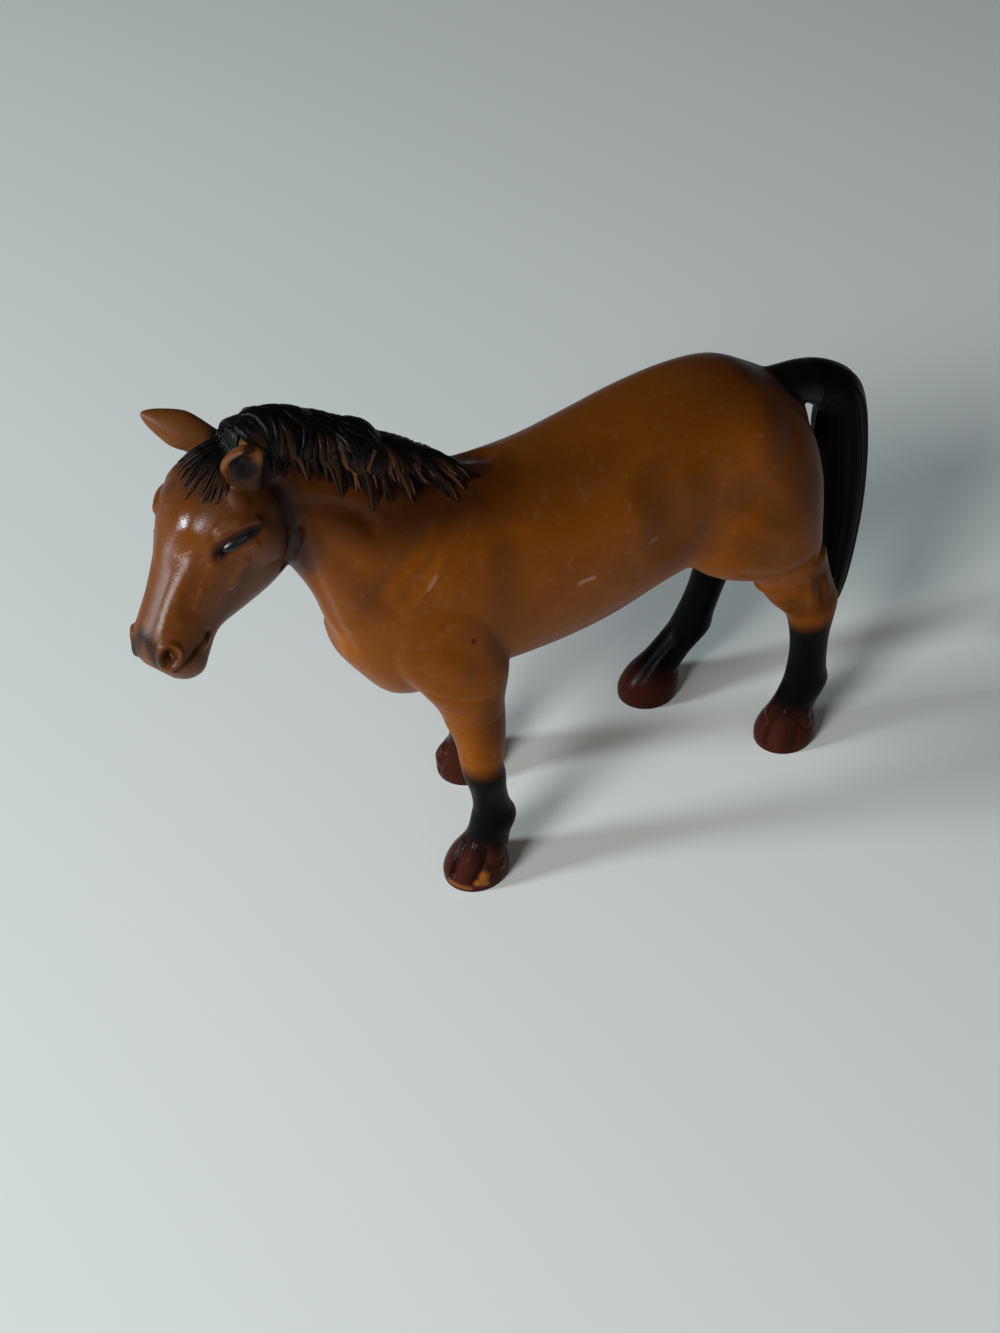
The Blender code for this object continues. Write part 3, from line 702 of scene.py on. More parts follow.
class Skin:
    """A clay skin that can be carved and painted along lines of the photograph."""

    def __init__(self, thing: bpy.types.Object, view: PhotoView, head: Matrix) -> None:
        """Reads the skin's places and normals.

        Args:
            thing: The skin's object.
            view: The photograph's viewpoint.
            head: The matrix from the head's own axes to the horse.
        """
        self.thing = thing
        self.view = view
        self.head = head
        self.measure()

    def measure(self) -> None:
        """Reads the skin's places and normals, and readies it for casting."""
        bm = bmesh.new()
        bm.from_mesh(self.thing.data)
        bm.normal_update()
        self.tree = BVHTree.FromBMesh(bm)
        self.places = np.array([tuple(vert.co) for vert in bm.verts])
        self.normals = np.array([tuple(vert.normal) for vert in bm.verts])
        bm.free()

    def hit(self, pixel: tuple) -> Vector:
        """Gives the point of the skin that a pixel of the photograph shows."""
        start = Vector(self.view.place)
        return self.tree.ray_cast(start, self.view.ray(pixel))[0]

    def mirrored(self, point: Vector, mirror: Mirror) -> Vector:
        """Gives the matching point on the right side."""
        if mirror is Mirror.HEAD:
            local = self.head.inverted() @ point
            local.y = -local.y
            twin = self.head @ local
        else:
            twin = Vector((point.x, -point.y, point.z))
        return self.tree.find_nearest(twin)[0]

    def lines(self, stroke: Stroke) -> list:
        """Lists the stroke's lines on the skin, one for each side that it is on."""
        near = [self.hit(pixel) for pixel in stroke.pixels]
        near = [point for point in near if point is not None]
        if len(near) > 1:
            near = [Vector(row) for row in smooth_rows([tuple(point) for point in near])]
        out = [near]
        if stroke.mirror is not Mirror.NONE:
            out.append([self.mirrored(point, stroke.mirror) for point in near])
        return [line for line in out if line]

    def weights(self, line: list, radius: float) -> np.ndarray:
        """Gives each point's weight near a line, 1 on the line and 0 a radius away."""
        best = np.full(len(self.places), radius)
        pairs = list(zip(line[:-1], line[1:])) or [(line[0], line[0])]
        for start, end in pairs:
            a, b = np.array(start), np.array(end)
            low, high = np.minimum(a, b) - radius, np.maximum(a, b) + radius
            near = np.flatnonzero(((self.places > low) & (self.places < high)).all(1))
            if not len(near):
                continue
            way = b - a
            length = max(float(way @ way), 1e-18)
            spot = np.clip((self.places[near] - a) @ way / length, 0, 1)
            gap = np.linalg.norm(self.places[near] - a - spot[:, None] * way, axis=1)
            best[near] = np.minimum(best[near], gap)
        return (1 - (best / radius) ** 2) ** 2

    def carve(self, strokes: list) -> None:
        """Lifts or sinks the skin along its normals under each stroke."""
        moved = np.zeros(len(self.places))
        for stroke in strokes:
            for line in self.lines(stroke):
                moved += stroke.strength * self.weights(line, stroke.radius)
        self.places += self.normals * moved[:, None]
        self.thing.data.vertices.foreach_set("co", self.places.ravel())
        self.thing.data.update()
        self.measure()

    def soften(self, values: np.ndarray, rounds: int = 24) -> np.ndarray:
        """Evens out a value over the neighbouring points."""
        ends = np.empty(len(self.thing.data.edges) * 2, dtype=np.int64)
        self.thing.data.edges.foreach_get("vertices", ends)
        one, other = ends.reshape(-1, 2).T
        count = np.maximum(np.bincount(ends, minlength=len(values)), 1)
        for _ in range(rounds):
            around = (np.bincount(one, values[other], len(values))
                      + np.bincount(other, values[one], len(values)))
            values = 0.5 * values + 0.5 * around / count
        return values

    def relax(self, strokes: list, rounds: int) -> None:
        """Evens out the form around strokes, and measures the skin again."""
        share = self.paint(strokes)[:, None]
        even = np.stack([self.soften(column, rounds) for column in self.places.T], axis=1)
        places = self.places + share * (even - self.places)
        self.thing.data.vertices.foreach_set("co", places.ravel())
        self.thing.data.update()
        self.measure()

    def paint(self, strokes: list) -> np.ndarray:
        """Gives the strongest of the strokes at each point, from 0 to 1."""
        layer = np.zeros(len(self.places))
        for stroke in strokes:
            for line in self.lines(stroke):
                layer = np.maximum(layer, stroke.strength * self.weights(line, stroke.radius))
        return np.clip(layer, 0, 1)


HEAD_STROKES = strokes(MM, (
    # Crease behind the jaw, and the cheek before it
    (1.7, -0.75, Mirror.HEAD, (279, 486), (291.5, 507), (298.5, 525.4), (292.5, 548.4), (286, 563.7)),
    (3.2, 0.50, Mirror.HEAD, (275, 502), (283, 520), (281, 544)),
    (5.0, 0.55, Mirror.HEAD, (268, 543)),
    # Facial crest
    (1.3, 0.45, Mirror.HEAD, (232.2, 584.1), (245, 561)),
    # Brow, socket of the eye and lower lid
    (1.4, 0.55, Mirror.HEAD, (222, 535), (237.3, 525.5), (255.2, 521.5)),
    (1.9, -0.75, Mirror.HEAD, (223, 550.5), (238, 541), (255, 531.5)),
    (0.8, 0.30, Mirror.HEAD, (222, 557.5), (237.3, 555), (255.2, 544)),
    # Bulge of the forehead, and the dip below it
    (6.0, 0.50, Mirror.NONE, (190, 521)),
    (4.2, -0.35, Mirror.NONE, (186, 556)),
    # Temple
    (2.0, 0.35, Mirror.HEAD, (236, 492), (242, 503)),
    # Hollow beside the nose
    (2.4, -0.30, Mirror.HEAD, (204.2, 560), (197, 585), (190, 609.6)),
    (0.8, 0.25, Mirror.HEAD, (196, 607), (203, 592)),
    # Nostril: rim, then hole
    (0.9, 0.45, Mirror.HEAD, (157.5, 658), (160.5, 649), (168.5, 646), (176.5, 649.5), (179.5, 658),
     (176.5, 666.5), (168.5, 670), (160.5, 667), (157.5, 658)),
    (1.9, -1.5, Mirror.HEAD, (168.5, 658.1)),
    # Mouth and lower lip
    (0.95, -0.40, Mirror.HEAD, (173.6, 671.5), (183, 665), (192, 655.5), (201.6, 643), (208, 633)),
    (1.7, 0.40, Mirror.HEAD, (205, 641)),
    # Windpipe
    (1.9, -0.45, Mirror.BODY, (298.6, 533), (308.8, 558.6), (321.5, 591.7), (334.3, 619.8),
     (349.6, 647.9)),
    # Waves of the crest
    (4.4, -1.7, Mirror.NONE, (320, 429), (332, 433)),
    (4.4, -1.7, Mirror.NONE, (384, 441), (404, 452), (424, 460)),
    (3.4, -0.8, Mirror.NONE, (442, 459), (464, 456), (480, 454)),
    # Crease under the mane
    (2.2, -0.55, Mirror.BODY, (306.2, 505), (331.7, 507.6), (357.2, 515.2), (372.5, 526.7)),
    (4.0, 0.35, Mirror.BODY, (342, 528), (366, 560), (361, 596)),
))
BODY_STROKES = strokes(MM, (
    # Folds of the shoulder
    (0.7, 0.22, Mirror.BODY, (393, 591.7), (403, 581), (413.4, 571.3)),
    (0.7, 0.24, Mirror.BODY, (415.9, 607), (433, 582), (445, 560)),
    (1.1, -0.16, Mirror.BODY, (407, 598), (424, 575), (436, 552)),
    (1.6, -0.22, Mirror.BODY, (386, 603), (395, 612), (404, 622)),
    # Blade and elbow
    (2.6, -0.35, Mirror.BODY, (426, 535), (404, 565), (378, 596), (362, 622)),
    (4.6, -0.42, Mirror.BODY, (508, 545), (513, 575), (511, 612), (506, 648)),
    (3.4, 0.45, Mirror.BODY, (441, 664), (462, 672)),
    # Flank, stifle and the crease under the thigh
    (5.6, -0.95, Mirror.BODY, (655, 486), (665, 512), (668, 540)),
    (5.6, 0.55, Mirror.BODY, (694, 486), (704, 508), (702, 536)),
    (4.0, -0.30, Mirror.BODY, (752, 497), (772, 505), (790, 518)),
    (1.0, -0.40, Mirror.BODY, (744.4, 575), (760, 579), (775, 578), (801.8, 568), (814.6, 557)),
    (1.8, 0.22, Mirror.BODY, (748, 566), (775, 568), (800, 558)),
))
RELAX_STROKES = strokes(1.0, (
    # Front of the thigh
    (7.5, 1.0, Mirror.BODY, (736, 470), (732, 504), (720, 530), (702, 552)),
))
LEG_STROKES = strokes(MM, (
    # Ring at the top of the foreleg, folds of the forearm
    (0.8, -0.32, Mirror.BODY, (431, 696), (446, 700.5), (464, 702.5), (492.5, 699)),
    (0.8, -0.18, Mirror.BODY, (446, 713), (462, 716), (476, 712)),
    (0.7, 0.15, Mirror.BODY, (449, 722), (464, 725), (478, 722)),
    # Grooves and lobes of the near hooves
    (1.3, -0.60, Mirror.BODY, (464, 844), (458, 858), (454, 874)),
    (1.2, -0.55, Mirror.BODY, (485, 852), (482, 866), (474, 882)),
    (1.9, 0.50, Mirror.BODY, (475, 850), (471, 860)),
    (1.6, 0.30, Mirror.BODY, (468, 867), (463, 878)),
    (2.2, 0.50, Mirror.BODY, (496, 852), (501, 862)),
    (1.6, 0.36, Mirror.BODY, (786, 716), (782, 730), (779, 744)),
    (1.2, -0.34, Mirror.BODY, (774, 718), (769, 730), (766, 744)),
    (1.2, -0.34, Mirror.BODY, (799, 718), (796, 732), (792, 748)),
    (1.4, 0.40, Mirror.BODY, (806, 714), (808, 722)),
    (0.9, -0.35, Mirror.BODY, (800, 724), (807, 730)),
    # Knee and hock
    (1.8, 0.35, Mirror.BODY, (474, 757), (484, 759)),
    (1.0, 0.30, Mirror.BODY, (786, 611)),
    (1.0, -0.30, Mirror.BODY, (793.5, 613)),
    (1.4, 0.40, Mirror.BODY, (825, 581), (829, 589)),
    (1.0, -0.40, Mirror.BODY, (822, 586), (823, 600)),
    (1.0, 0.28, Mirror.BODY, (809, 578), (812, 600)),
))


def set_layer(thing: bpy.types.Object, name: str, values: np.ndarray) -> None:
    """Stores one paint layer on an object's points."""
    layer = thing.data.attributes.new(name, "FLOAT", "POINT")
    layer.data.foreach_set("value", np.ascontiguousarray(values, dtype=np.float32))


def ramp(values: np.ndarray, low: float, high: float) -> np.ndarray:
    """Rises smoothly from 0 at low to 1 at high."""
    share = np.clip((values - low) / (high - low), 0, 1)
    return share * share * (3 - 2 * share)


def part_skin(skin: bpy.types.Object, name: str, planes: list, keep) -> bpy.types.Object:
    """Copies the part of a skin that a test keeps, and closes it along the seams.

    Args:
        skin: The whole skin.
        name: The new piece's name.
        planes: Seam planes, each a point and a normal.
        keep: A test on a face's middle.

    Returns:
        The closed piece.
    """
    bm = bmesh.new()
    bm.from_mesh(skin.data)
    for point, normal in planes:
        bmesh.ops.bisect_plane(bm, geom=bm.verts[:] + bm.edges[:] + bm.faces[:],
                               plane_co=point, plane_no=normal)
    away = [face for face in bm.faces if not keep(face.calc_center_median())]
    bmesh.ops.delete(bm, geom=away, context="FACES")
    rim = [edge for edge in bm.edges if edge.is_boundary]
    for edge in rim:
        edge.smooth = False
    bmesh.ops.edgeloop_fill(bm, edges=rim)
    bmesh.ops.recalc_face_normals(bm, faces=bm.faces)
    for face in bm.faces:
        face.smooth = True
    return new_object(name, bm)


@dataclass(frozen=True)
class Lock:
    """A lock of the mane: where its roots stand along the crest, and its tip."""

    root_from: float
    root_to: float
    tip: tuple
    strands: int


MANE_LOCKS = (
    Lock(240.0, 254.0, (280.0, 475.0), 7),
    Lock(246.0, 262.0, (291.0, 476.0), 7),
    Lock(254.0, 272.0, (306.0, 479.0), 8),
    Lock(262.0, 282.0, (322.0, 479.0), 8),
    Lock(272.0, 296.0, (345.0, 497.0), 11),
    Lock(288.0, 310.0, (361.0, 497.0), 8),
    Lock(300.0, 324.0, (378.0, 510.0), 11),
    Lock(318.0, 336.0, (387.0, 502.0), 8),
    Lock(330.0, 350.0, (401.0, 490.0), 8),
    Lock(344.0, 368.0, (415.0, 500.0), 11),
    Lock(362.0, 384.0, (434.0, 488.0), 8),
    Lock(376.0, 402.0, (457.0, 502.0), 10),
    Lock(396.0, 418.0, (468.0, 489.0), 8),
    Lock(410.0, 430.0, (472.0, 478.0), 7),
)
FORELOCK_ROOTS = ((221.0, 431.0), (240.0, 427.0))
FORELOCK_TIPS = ((177.0, 463.0), (180.0, 482.0), (186.0, 501.0), (195.0, 497.0), (204.0, 509.0),
                 (212.0, 499.0), (218.0, 508.0), (223.0, 496.0))


class Hair:
    """Pointed strands that lie on the skin, gathered in one piece."""

    POINTS = 10
    STEPS = 6
    GLOSS = 0.3
    RUB_RISE = (0.1, 0.95)
    RUB_LENGTH = (0.42, 0.95)
    PROFILE = ((0.00, 0.55), (0.12, 0.85), (0.35, 1.00), (0.60, 0.92), (0.80, 0.66),
               (0.93, 0.34), (1.00, 0.05))

    def __init__(self, skin: Skin, seed: int) -> None:
        """Starts the piece on a skin, with its own repeatable scatter."""
        self.skin = skin
        self.dice = random.Random(seed)
        self.strands = []

    def on_skin(self, point: Vector, stand: float) -> tuple:
        """Gives the point above the nearest skin, and the skin's normal there."""
        place, normal, _, _ = self.skin.tree.find_nearest(point)
        return place + normal * stand, normal

    def strand(self, path: list, width: float, thickness: float, stand: float,
               rub: float) -> None:
        """Lays one strand along a path.

        Args:
            path: A few points from root to tip, near the skin.
            width: The strand's greatest width.
            thickness: Its greatest thickness.
            stand: How far its middle lies above the skin.
            rub: How far the paint is rubbed off its crown, from 0 to 1.
        """
        rows = smooth_rows([tuple(point) for point in path], self.STEPS)
        spots = [self.on_skin(Vector(row),
                              stand * math.sin(math.pi * (0.25 + 0.65 * i / len(rows))))
                 for i, row in enumerate(rows)]
        slices, shares = [], []
        for i, (place, normal) in enumerate(spots):
            share = i / (len(spots) - 1)
            along = spots[min(i + 1, len(spots) - 1)][0] - spots[max(i - 1, 0)][0]
            across = along.normalized().cross(normal)
            swell = np.interp(share, *zip(*self.PROFILE))
            slices.append(Slice(place, normal * swell ** 0.7 * thickness / 2,
                                across * swell * width / 2))
            shares.append(share)
        thing = loft("strand", slices, 2.0, self.POINTS)
        count = len(thing.data.vertices)
        places = np.empty(count * 3)
        thing.data.vertices.foreach_get("co", places)
        places = places.reshape(-1, 3)
        middles = np.array([tuple(one.middle) for one in slices])
        ups = np.array([tuple(one.up) for one in slices])
        nearest = np.argmin(((places[:, None] - middles[None]) ** 2).sum(2), axis=1)
        rise = ((places - middles[nearest]) * ups[nearest]).sum(1) / (ups[nearest] ** 2).sum(1)
        share = np.array(shares)[nearest]
        set_layer(thing, "worn", rub * ramp(rise, *self.RUB_RISE) * ramp(share, *self.RUB_LENGTH))
        for name, value in (("gloss", self.GLOSS), ("black", 1), ("shade", 0), ("hoof", 0)):
            set_layer(thing, name, np.full(count, value))
        self.strands.append(thing)

    def gather(self, name: str) -> bpy.types.Object:
        """Joins the strands into one object."""
        bm = bmesh.new()
        for thing in self.strands:
            bm.from_mesh(thing.data)
            bpy.data.objects.remove(thing, do_unlink=True)
        for face in bm.faces:
            face.smooth = True
        return new_object(name, bm)


class Mane(Hair):
    """The mane, in locks swept back over the near side and a shorter fringe on the off side."""

    TUFT = 16
    REACH = 6
    RUB_COLUMNS = (255.0, 335.0)
    RUB_LEAST = 0.35
    RUB_POWER = 1.8
    FRINGE_REACH = 0.55
    # The tuft between the ears: where its roots and tips start and end in the photograph
    TUFT_ROOTS = ((236, 426), (250, 414))
    TUFT_TIPS = ((262, 450), (286, 428))
    TUFT_SCATTER = 4

    def __init__(self, skin: Skin, neck: Neck) -> None:
        """Finds the line of the crest."""
        super().__init__(skin, 11)
        rows = smooth_rows([row for row in neck.shares if row[0] >= 0], 24)
        self.crest = [neck.crest(row[0], row[1], row[5]) + Vector((0, 0, neck.ridge_height))
                      for row in rows]
        self.pixels = [skin.view.pixel(point)[0] for point in self.crest]

    def root(self, across: float) -> tuple:
        """Gives the crest's point at a column of the photograph, and the way back along it."""
        index = min(range(len(self.crest)), key=lambda i: abs(self.pixels[i] - across))
        after = self.crest[max(index - self.REACH, 0)]
        before = self.crest[min(index + self.REACH, len(self.crest) - 1)]
        return self.crest[index], (after - before).normalized()

    def fall(self, start: Vector, end: Vector, back: Vector, bend: float) -> list:
        """Gives a path that leaves along the crest and bends down towards its tip."""
        turn = start + back * bend * (end - start).length
        return [start * (1 - share) ** 2 + turn * 2 * share * (1 - share) + end * share ** 2
                for share in (0.0, 0.2, 0.4, 0.6, 0.8, 1.0)]

    def build(self) -> bpy.types.Object:
        """Lays all the locks."""
        dice = self.dice
        for lock in MANE_LOCKS:
            tip = self.skin.hit(lock.tip)
            for i in range(lock.strands):
                share = i / (lock.strands - 1)
                column = lock.root_from + (lock.root_to - lock.root_from) * share
                root, back = self.root(column)
                top = i % 2 == 1
                rubbed = self.RUB_LEAST + (1 - self.RUB_LEAST) * float(ramp(column, *self.RUB_COLUMNS))
                reach = dice.uniform(0.84, 1.01) if top else dice.uniform(0.80, 0.96)
                aside = Vector((dice.uniform(-1, 1), 0, dice.uniform(-1, 1))) * 0.9 * MM
                end = root.lerp(tip, reach) + aside * (1.2 if top else 0.7)
                start = root + Vector((0, dice.uniform(-0.4, 1.2) * MM, 0))
                self.strand(self.fall(start, end, back, dice.uniform(0.30, 0.55)),
                            dice.uniform(1.1, 1.8) * MM if top else dice.uniform(2.6, 3.8) * MM,
                            dice.uniform(0.9, 1.3) * MM, (0.95 if top else 0.35) * MM,
                            rubbed * dice.random() ** self.RUB_POWER if top else dice.uniform(0.0, 0.12))
            for i in range(lock.strands // 2):
                share = (i + 0.5) / (lock.strands // 2)
                root, back = self.root(lock.root_from + (lock.root_to - lock.root_from) * share)
                way = tip - root
                end = root + self.FRINGE_REACH * Vector((way.x, -way.y, way.z))
                start = root + Vector((0, dice.uniform(-1.0, 0.2) * MM, 0))
                self.strand(self.fall(start, end, back, dice.uniform(0.2, 0.4)),
                            dice.uniform(1.5, 2.2) * MM, dice.uniform(0.7, 0.9) * MM,
                            0.45 * MM, dice.uniform(0.0, 0.7))
        for _ in range(self.TUFT):
            share = dice.random()
            spread = self.TUFT_SCATTER
            root, tip = (Vector(first).lerp(Vector(last), share)
                         for first, last in (self.TUFT_ROOTS, self.TUFT_TIPS))
            tip += Vector((dice.uniform(-spread, spread), dice.uniform(-spread, spread)))
            root, end = self.skin.hit(root), self.skin.hit(tip)
            self.strand(self.fall(root, end, (end - root).normalized(), 0.4),
                        dice.uniform(1.8, 2.6) * MM, dice.uniform(0.9, 1.3) * MM, 0.5 * MM,
                        dice.uniform(0.0, 0.2))
        return self.gather("mane")


class Forelock(Hair):
    """Thin strands that fall from between the ears over the forehead."""

    STRANDS = 34

    def build(self) -> bpy.types.Object:
        """Lays the strands."""
        dice = self.dice
        first, last = (Vector(pixel) for pixel in FORELOCK_ROOTS)
        for i in range(self.STRANDS):
            share = i / (self.STRANDS - 1)
            place = share * (len(FORELOCK_TIPS) - 1)
            low = min(int(place), len(FORELOCK_TIPS) - 2)
            tip = Vector(FORELOCK_TIPS[low]).lerp(Vector(FORELOCK_TIPS[low + 1]), place - low)
            tip += Vector((dice.uniform(-3, 3), dice.uniform(-9, 3)))
            root = first.lerp(last, share) + Vector((dice.uniform(-3, 3), dice.uniform(-3, 3)))
            start, end = self.skin.hit(tuple(root)), self.skin.hit(tuple(tip))
            if start is None or end is None:
                continue
            middle = start.lerp(end, 0.5)
            self.strand([start, start.lerp(middle, 0.5), middle, middle.lerp(end, 0.6), end],
                        dice.uniform(0.55, 0.85) * MM, dice.uniform(0.45, 0.65) * MM,
                        0.22 * MM, dice.uniform(0.0, 0.3))
        return self.gather("forelock")


@dataclass(frozen=True)
class EyeFinish:
    """Glossy black eye."""

    colour: tuple = (0.004, 0.004, 0.006, 1)
    roughness: float = 0.28

    def make(self) -> bpy.types.Material:
        """Builds the material."""
        material = bpy.data.materials.new("eye_gloss")
        material.use_nodes = True
        surface = material.node_tree.nodes["Principled BSDF"]
        surface.inputs["Base Color"].default_value = self.colour
        surface.inputs["Roughness"].default_value = self.roughness
        return material


@dataclass(frozen=True)
class Eyes:
    """Two almond eyes, set in their sockets."""

    front: tuple = (222.0, 552.0)
    back: tuple = (256.5, 531.0)
    middle: tuple = (239.0, 541.5)
    height: float = 2.7 * MM
    bulge: float = 2.2 * MM
    sink: float = 0.80 * MM
    rings: int = 24

    def build(self, skin: Skin) -> bpy.types.Object:
        """Builds both eyes as one object."""
        front, back, middle = (skin.hit(pixel) for pixel in (self.front, self.back, self.middle))
        _, normal, _, _ = skin.tree.find_nearest(middle)
        along = (back - front).normalized()
        normal = (normal - along * normal.dot(along)).normalized()
        turn = Matrix((along, normal.cross(along), normal)).transposed().to_4x4()
        size = Matrix.Diagonal(((back - front).length / 2, self.height / 2, self.bulge / 2, 1))
        place = Matrix.Translation(middle - normal * self.sink) @ turn @ size
        flip = skin.head @ Matrix.Diagonal((1, -1, 1, 1)) @ skin.head.inverted()
        bm = bmesh.new()
        for spot in (place, flip @ place):
            bmesh.ops.create_uvsphere(bm, u_segments=2 * self.rings, v_segments=self.rings,
                                      radius=1.0, matrix=spot)
        bmesh.ops.recalc_face_normals(bm, faces=bm.faces)
        for face in bm.faces:
            face.smooth = True
        return new_object("eyes", bm)


@dataclass(frozen=True)
class Seams:
    """Where the dressed skin is parted, in the horse's own coordinates."""

    neck: Neck
    tail_place: float
    fore_height: float
    hind_height: float
    turn: float = math.radians(8)
    tilt: float = math.radians(10)
    throat_tilt: float = math.radians(40)
    head_shares: tuple = (0.88, 0.40, 0.12)
    throat_depth: float = 0.0231
    barrel_middle: float = 0.006

    def head_seam(self) -> Matrix:
        """Gives the axes of the seam across the neck, whose X points backwards."""
        return (Matrix.Translation(self.neck.crest(*self.head_shares))
                @ Matrix.Rotation(self.turn, 4, "Z") @ Matrix.Rotation(-self.tilt, 4, "Y"))

    def throat_seam(self) -> Matrix:
        """Gives the axes of the seam under the throat, whose Z points into the head."""
        return (self.head_seam() @ Matrix.Translation((0, 0, -self.throat_depth))
                @ Matrix.Rotation(-self.throat_tilt, 4, "Y"))

    def in_head(self, point: Vector) -> bool:
        """Tells whether a point belongs to the head."""
        return ((self.head_seam().inverted() @ point).x < 0
                and (self.throat_seam().inverted() @ point).z > 0)

    def in_leg(self, point: Vector, fore: bool, side: Side) -> bool:
        """Tells whether a point belongs to one leg."""
        height = self.fore_height if fore else self.hind_height
        return (point.z < height and (point.x < self.barrel_middle) == fore
                and point.y * side.value > 0)

    def in_body(self, point: Vector) -> bool:
        """Tells whether a point belongs to the body."""
        leg = point.z < (self.fore_height if point.x < self.barrel_middle else self.hind_height)
        return not leg and point.x < self.tail_place and not self.in_head(point)

    def head_planes(self) -> list:
        """Lists the planes that part the head from the body."""
        cut, throat = self.head_seam(), self.throat_seam()
        return [(cut.translation, cut.to_3x3() @ Vector((1, 0, 0))),
                (throat.translation, throat.to_3x3() @ Vector((0, 0, 1)))]

    def leg_planes(self, fore: bool) -> list:
        """Lists the plane that parts a pair of legs from the body."""
        return [(Vector((0, 0, self.fore_height if fore else self.hind_height)),
                 Vector((0, 0, 1)))]

    def body_planes(self) -> list:
        """Lists every plane that bounds the body."""
        return (self.head_planes() + self.leg_planes(True) + self.leg_planes(False)
                + [(Vector((self.tail_place, 0, 0)), Vector((1, 0, 0)))])


@dataclass(frozen=True)
class CoatFinish:
    """Sprayed satin paint over a moulded figure."""

    base: tuple = (0.165, 0.040, 0.0012, 1)
    light: tuple = (0.255, 0.069, 0.0028, 1)
    # Colour of the shade layer, which lays dark airbrush and painted shade
    dark: tuple = (0.026, 0.0060, 0.0014, 1)
    black: tuple = (0.0015, 0.0017, 0.0020, 1)
    hoof: tuple = (0.045, 0.0100, 0.0055, 1)
    worn: tuple = (0.33, 0.110, 0.018, 1)
    scuff: tuple = (0.50, 0.300, 0.200, 1)
    specular: float = 0.11
    roughness: float = 0.36
    gloss_roughness: float = 0.20
    mottle_scale: float = 160.0
    dust: float = 0.10
    dust_scale: float = 700.0
    dust_gain: float = 5.0
    dust_cut: float = 2.9
    grain_scale: float = 2600.0
    grain_height: float = 0.03 * MM

    def make(self, name: str) -> bpy.types.Material:
        """Builds the material, which reads the paint layers of the piece's points."""
        material = bpy.data.materials.new(name)
        material.use_nodes = True
        nodes, links = material.node_tree.nodes, material.node_tree.links
        surface = nodes["Principled BSDF"]
        place = nodes.new("ShaderNodeTexCoord").outputs["Object"]

        def noise(scale: float, detail: float) -> bpy.types.NodeSocket:
            grain = nodes.new("ShaderNodeTexNoise")
            grain.inputs["Scale"].default_value = scale
            grain.inputs["Detail"].default_value = detail
            links.new(place, grain.inputs["Vector"])
            return grain.outputs["Fac"]

        def mix(kind: str, amount, low, high) -> bpy.types.NodeSocket:
            blend = nodes.new("ShaderNodeMix")
            blend.data_type = kind
            sockets = {socket.name: socket for socket in blend.inputs if socket.enabled}
            for key, value in (("Factor", amount), ("A", low), ("B", high)):
                if isinstance(value, bpy.types.NodeSocket):
                    links.new(value, sockets[key])
                else:
                    sockets[key].default_value = value
            return next(socket for socket in blend.outputs if socket.enabled)

        def layer(key: str) -> bpy.types.NodeSocket:
            source = nodes.new("ShaderNodeAttribute")
            source.attribute_name = key
            return source.outputs["Fac"]

        def maths(operation: str, *values) -> bpy.types.NodeSocket:
            step = nodes.new("ShaderNodeMath")
            step.operation = operation
            step.use_clamp = True
            for socket, value in zip(step.inputs, values):
                if isinstance(value, bpy.types.NodeSocket):
                    links.new(value, socket)
                else:
                    socket.default_value = value
            return step.outputs["Value"]

        mottle = noise(self.mottle_scale, 4.0)
        colour = mix("RGBA", mottle, self.base, self.light)
        dust = maths("MULTIPLY_ADD", noise(self.dust_scale, 6.0), self.dust_gain, -self.dust_cut)
        colour = mix("RGBA", maths("MULTIPLY", dust, self.dust), colour, self.scuff)
        # The shade layer mixes in painted shade as well as dark paint
        for key, paint, spread in (("shade", self.dark, 0.50), ("black", self.black, 0.40),
                                   ("hoof", self.hoof, 0.20), ("worn", self.worn, 1.20),
                                   ("scuff", self.scuff, 0.50)):
            ragged = maths("MULTIPLY_ADD", mottle, spread, -spread / 2)
            amount = layer(key)
            amount = maths("ADD", amount, maths("MULTIPLY", amount, ragged))
            colour = mix("RGBA", amount, colour, paint)
        links.new(colour, surface.inputs["Base Color"])
        links.new(mix("FLOAT", layer("gloss"), self.roughness, self.gloss_roughness),
                  surface.inputs["Roughness"])
        surface.inputs["Specular IOR Level"].default_value = self.specular
        bump = nodes.new("ShaderNodeBump")
        bump.inputs["Distance"].default_value = self.grain_height
        links.new(noise(self.grain_scale, 2.0), bump.inputs["Height"])
        links.new(bump.outputs["Normal"], surface.inputs["Normal"])
        return material


@dataclass(frozen=True)
class FloorFinish:
    """A plain pale table top."""

    pale: tuple = (0.85, 0.86, 0.80, 1)
    roughness: float = 0.6

    def make(self) -> bpy.types.Material:
        """Builds the material."""
        material = bpy.data.materials.new("table_top")
        material.use_nodes = True
        surface = material.node_tree.nodes["Principled BSDF"]
        surface.inputs["Base Color"].default_value = self.pale
        surface.inputs["Roughness"].default_value = self.roughness
        return material


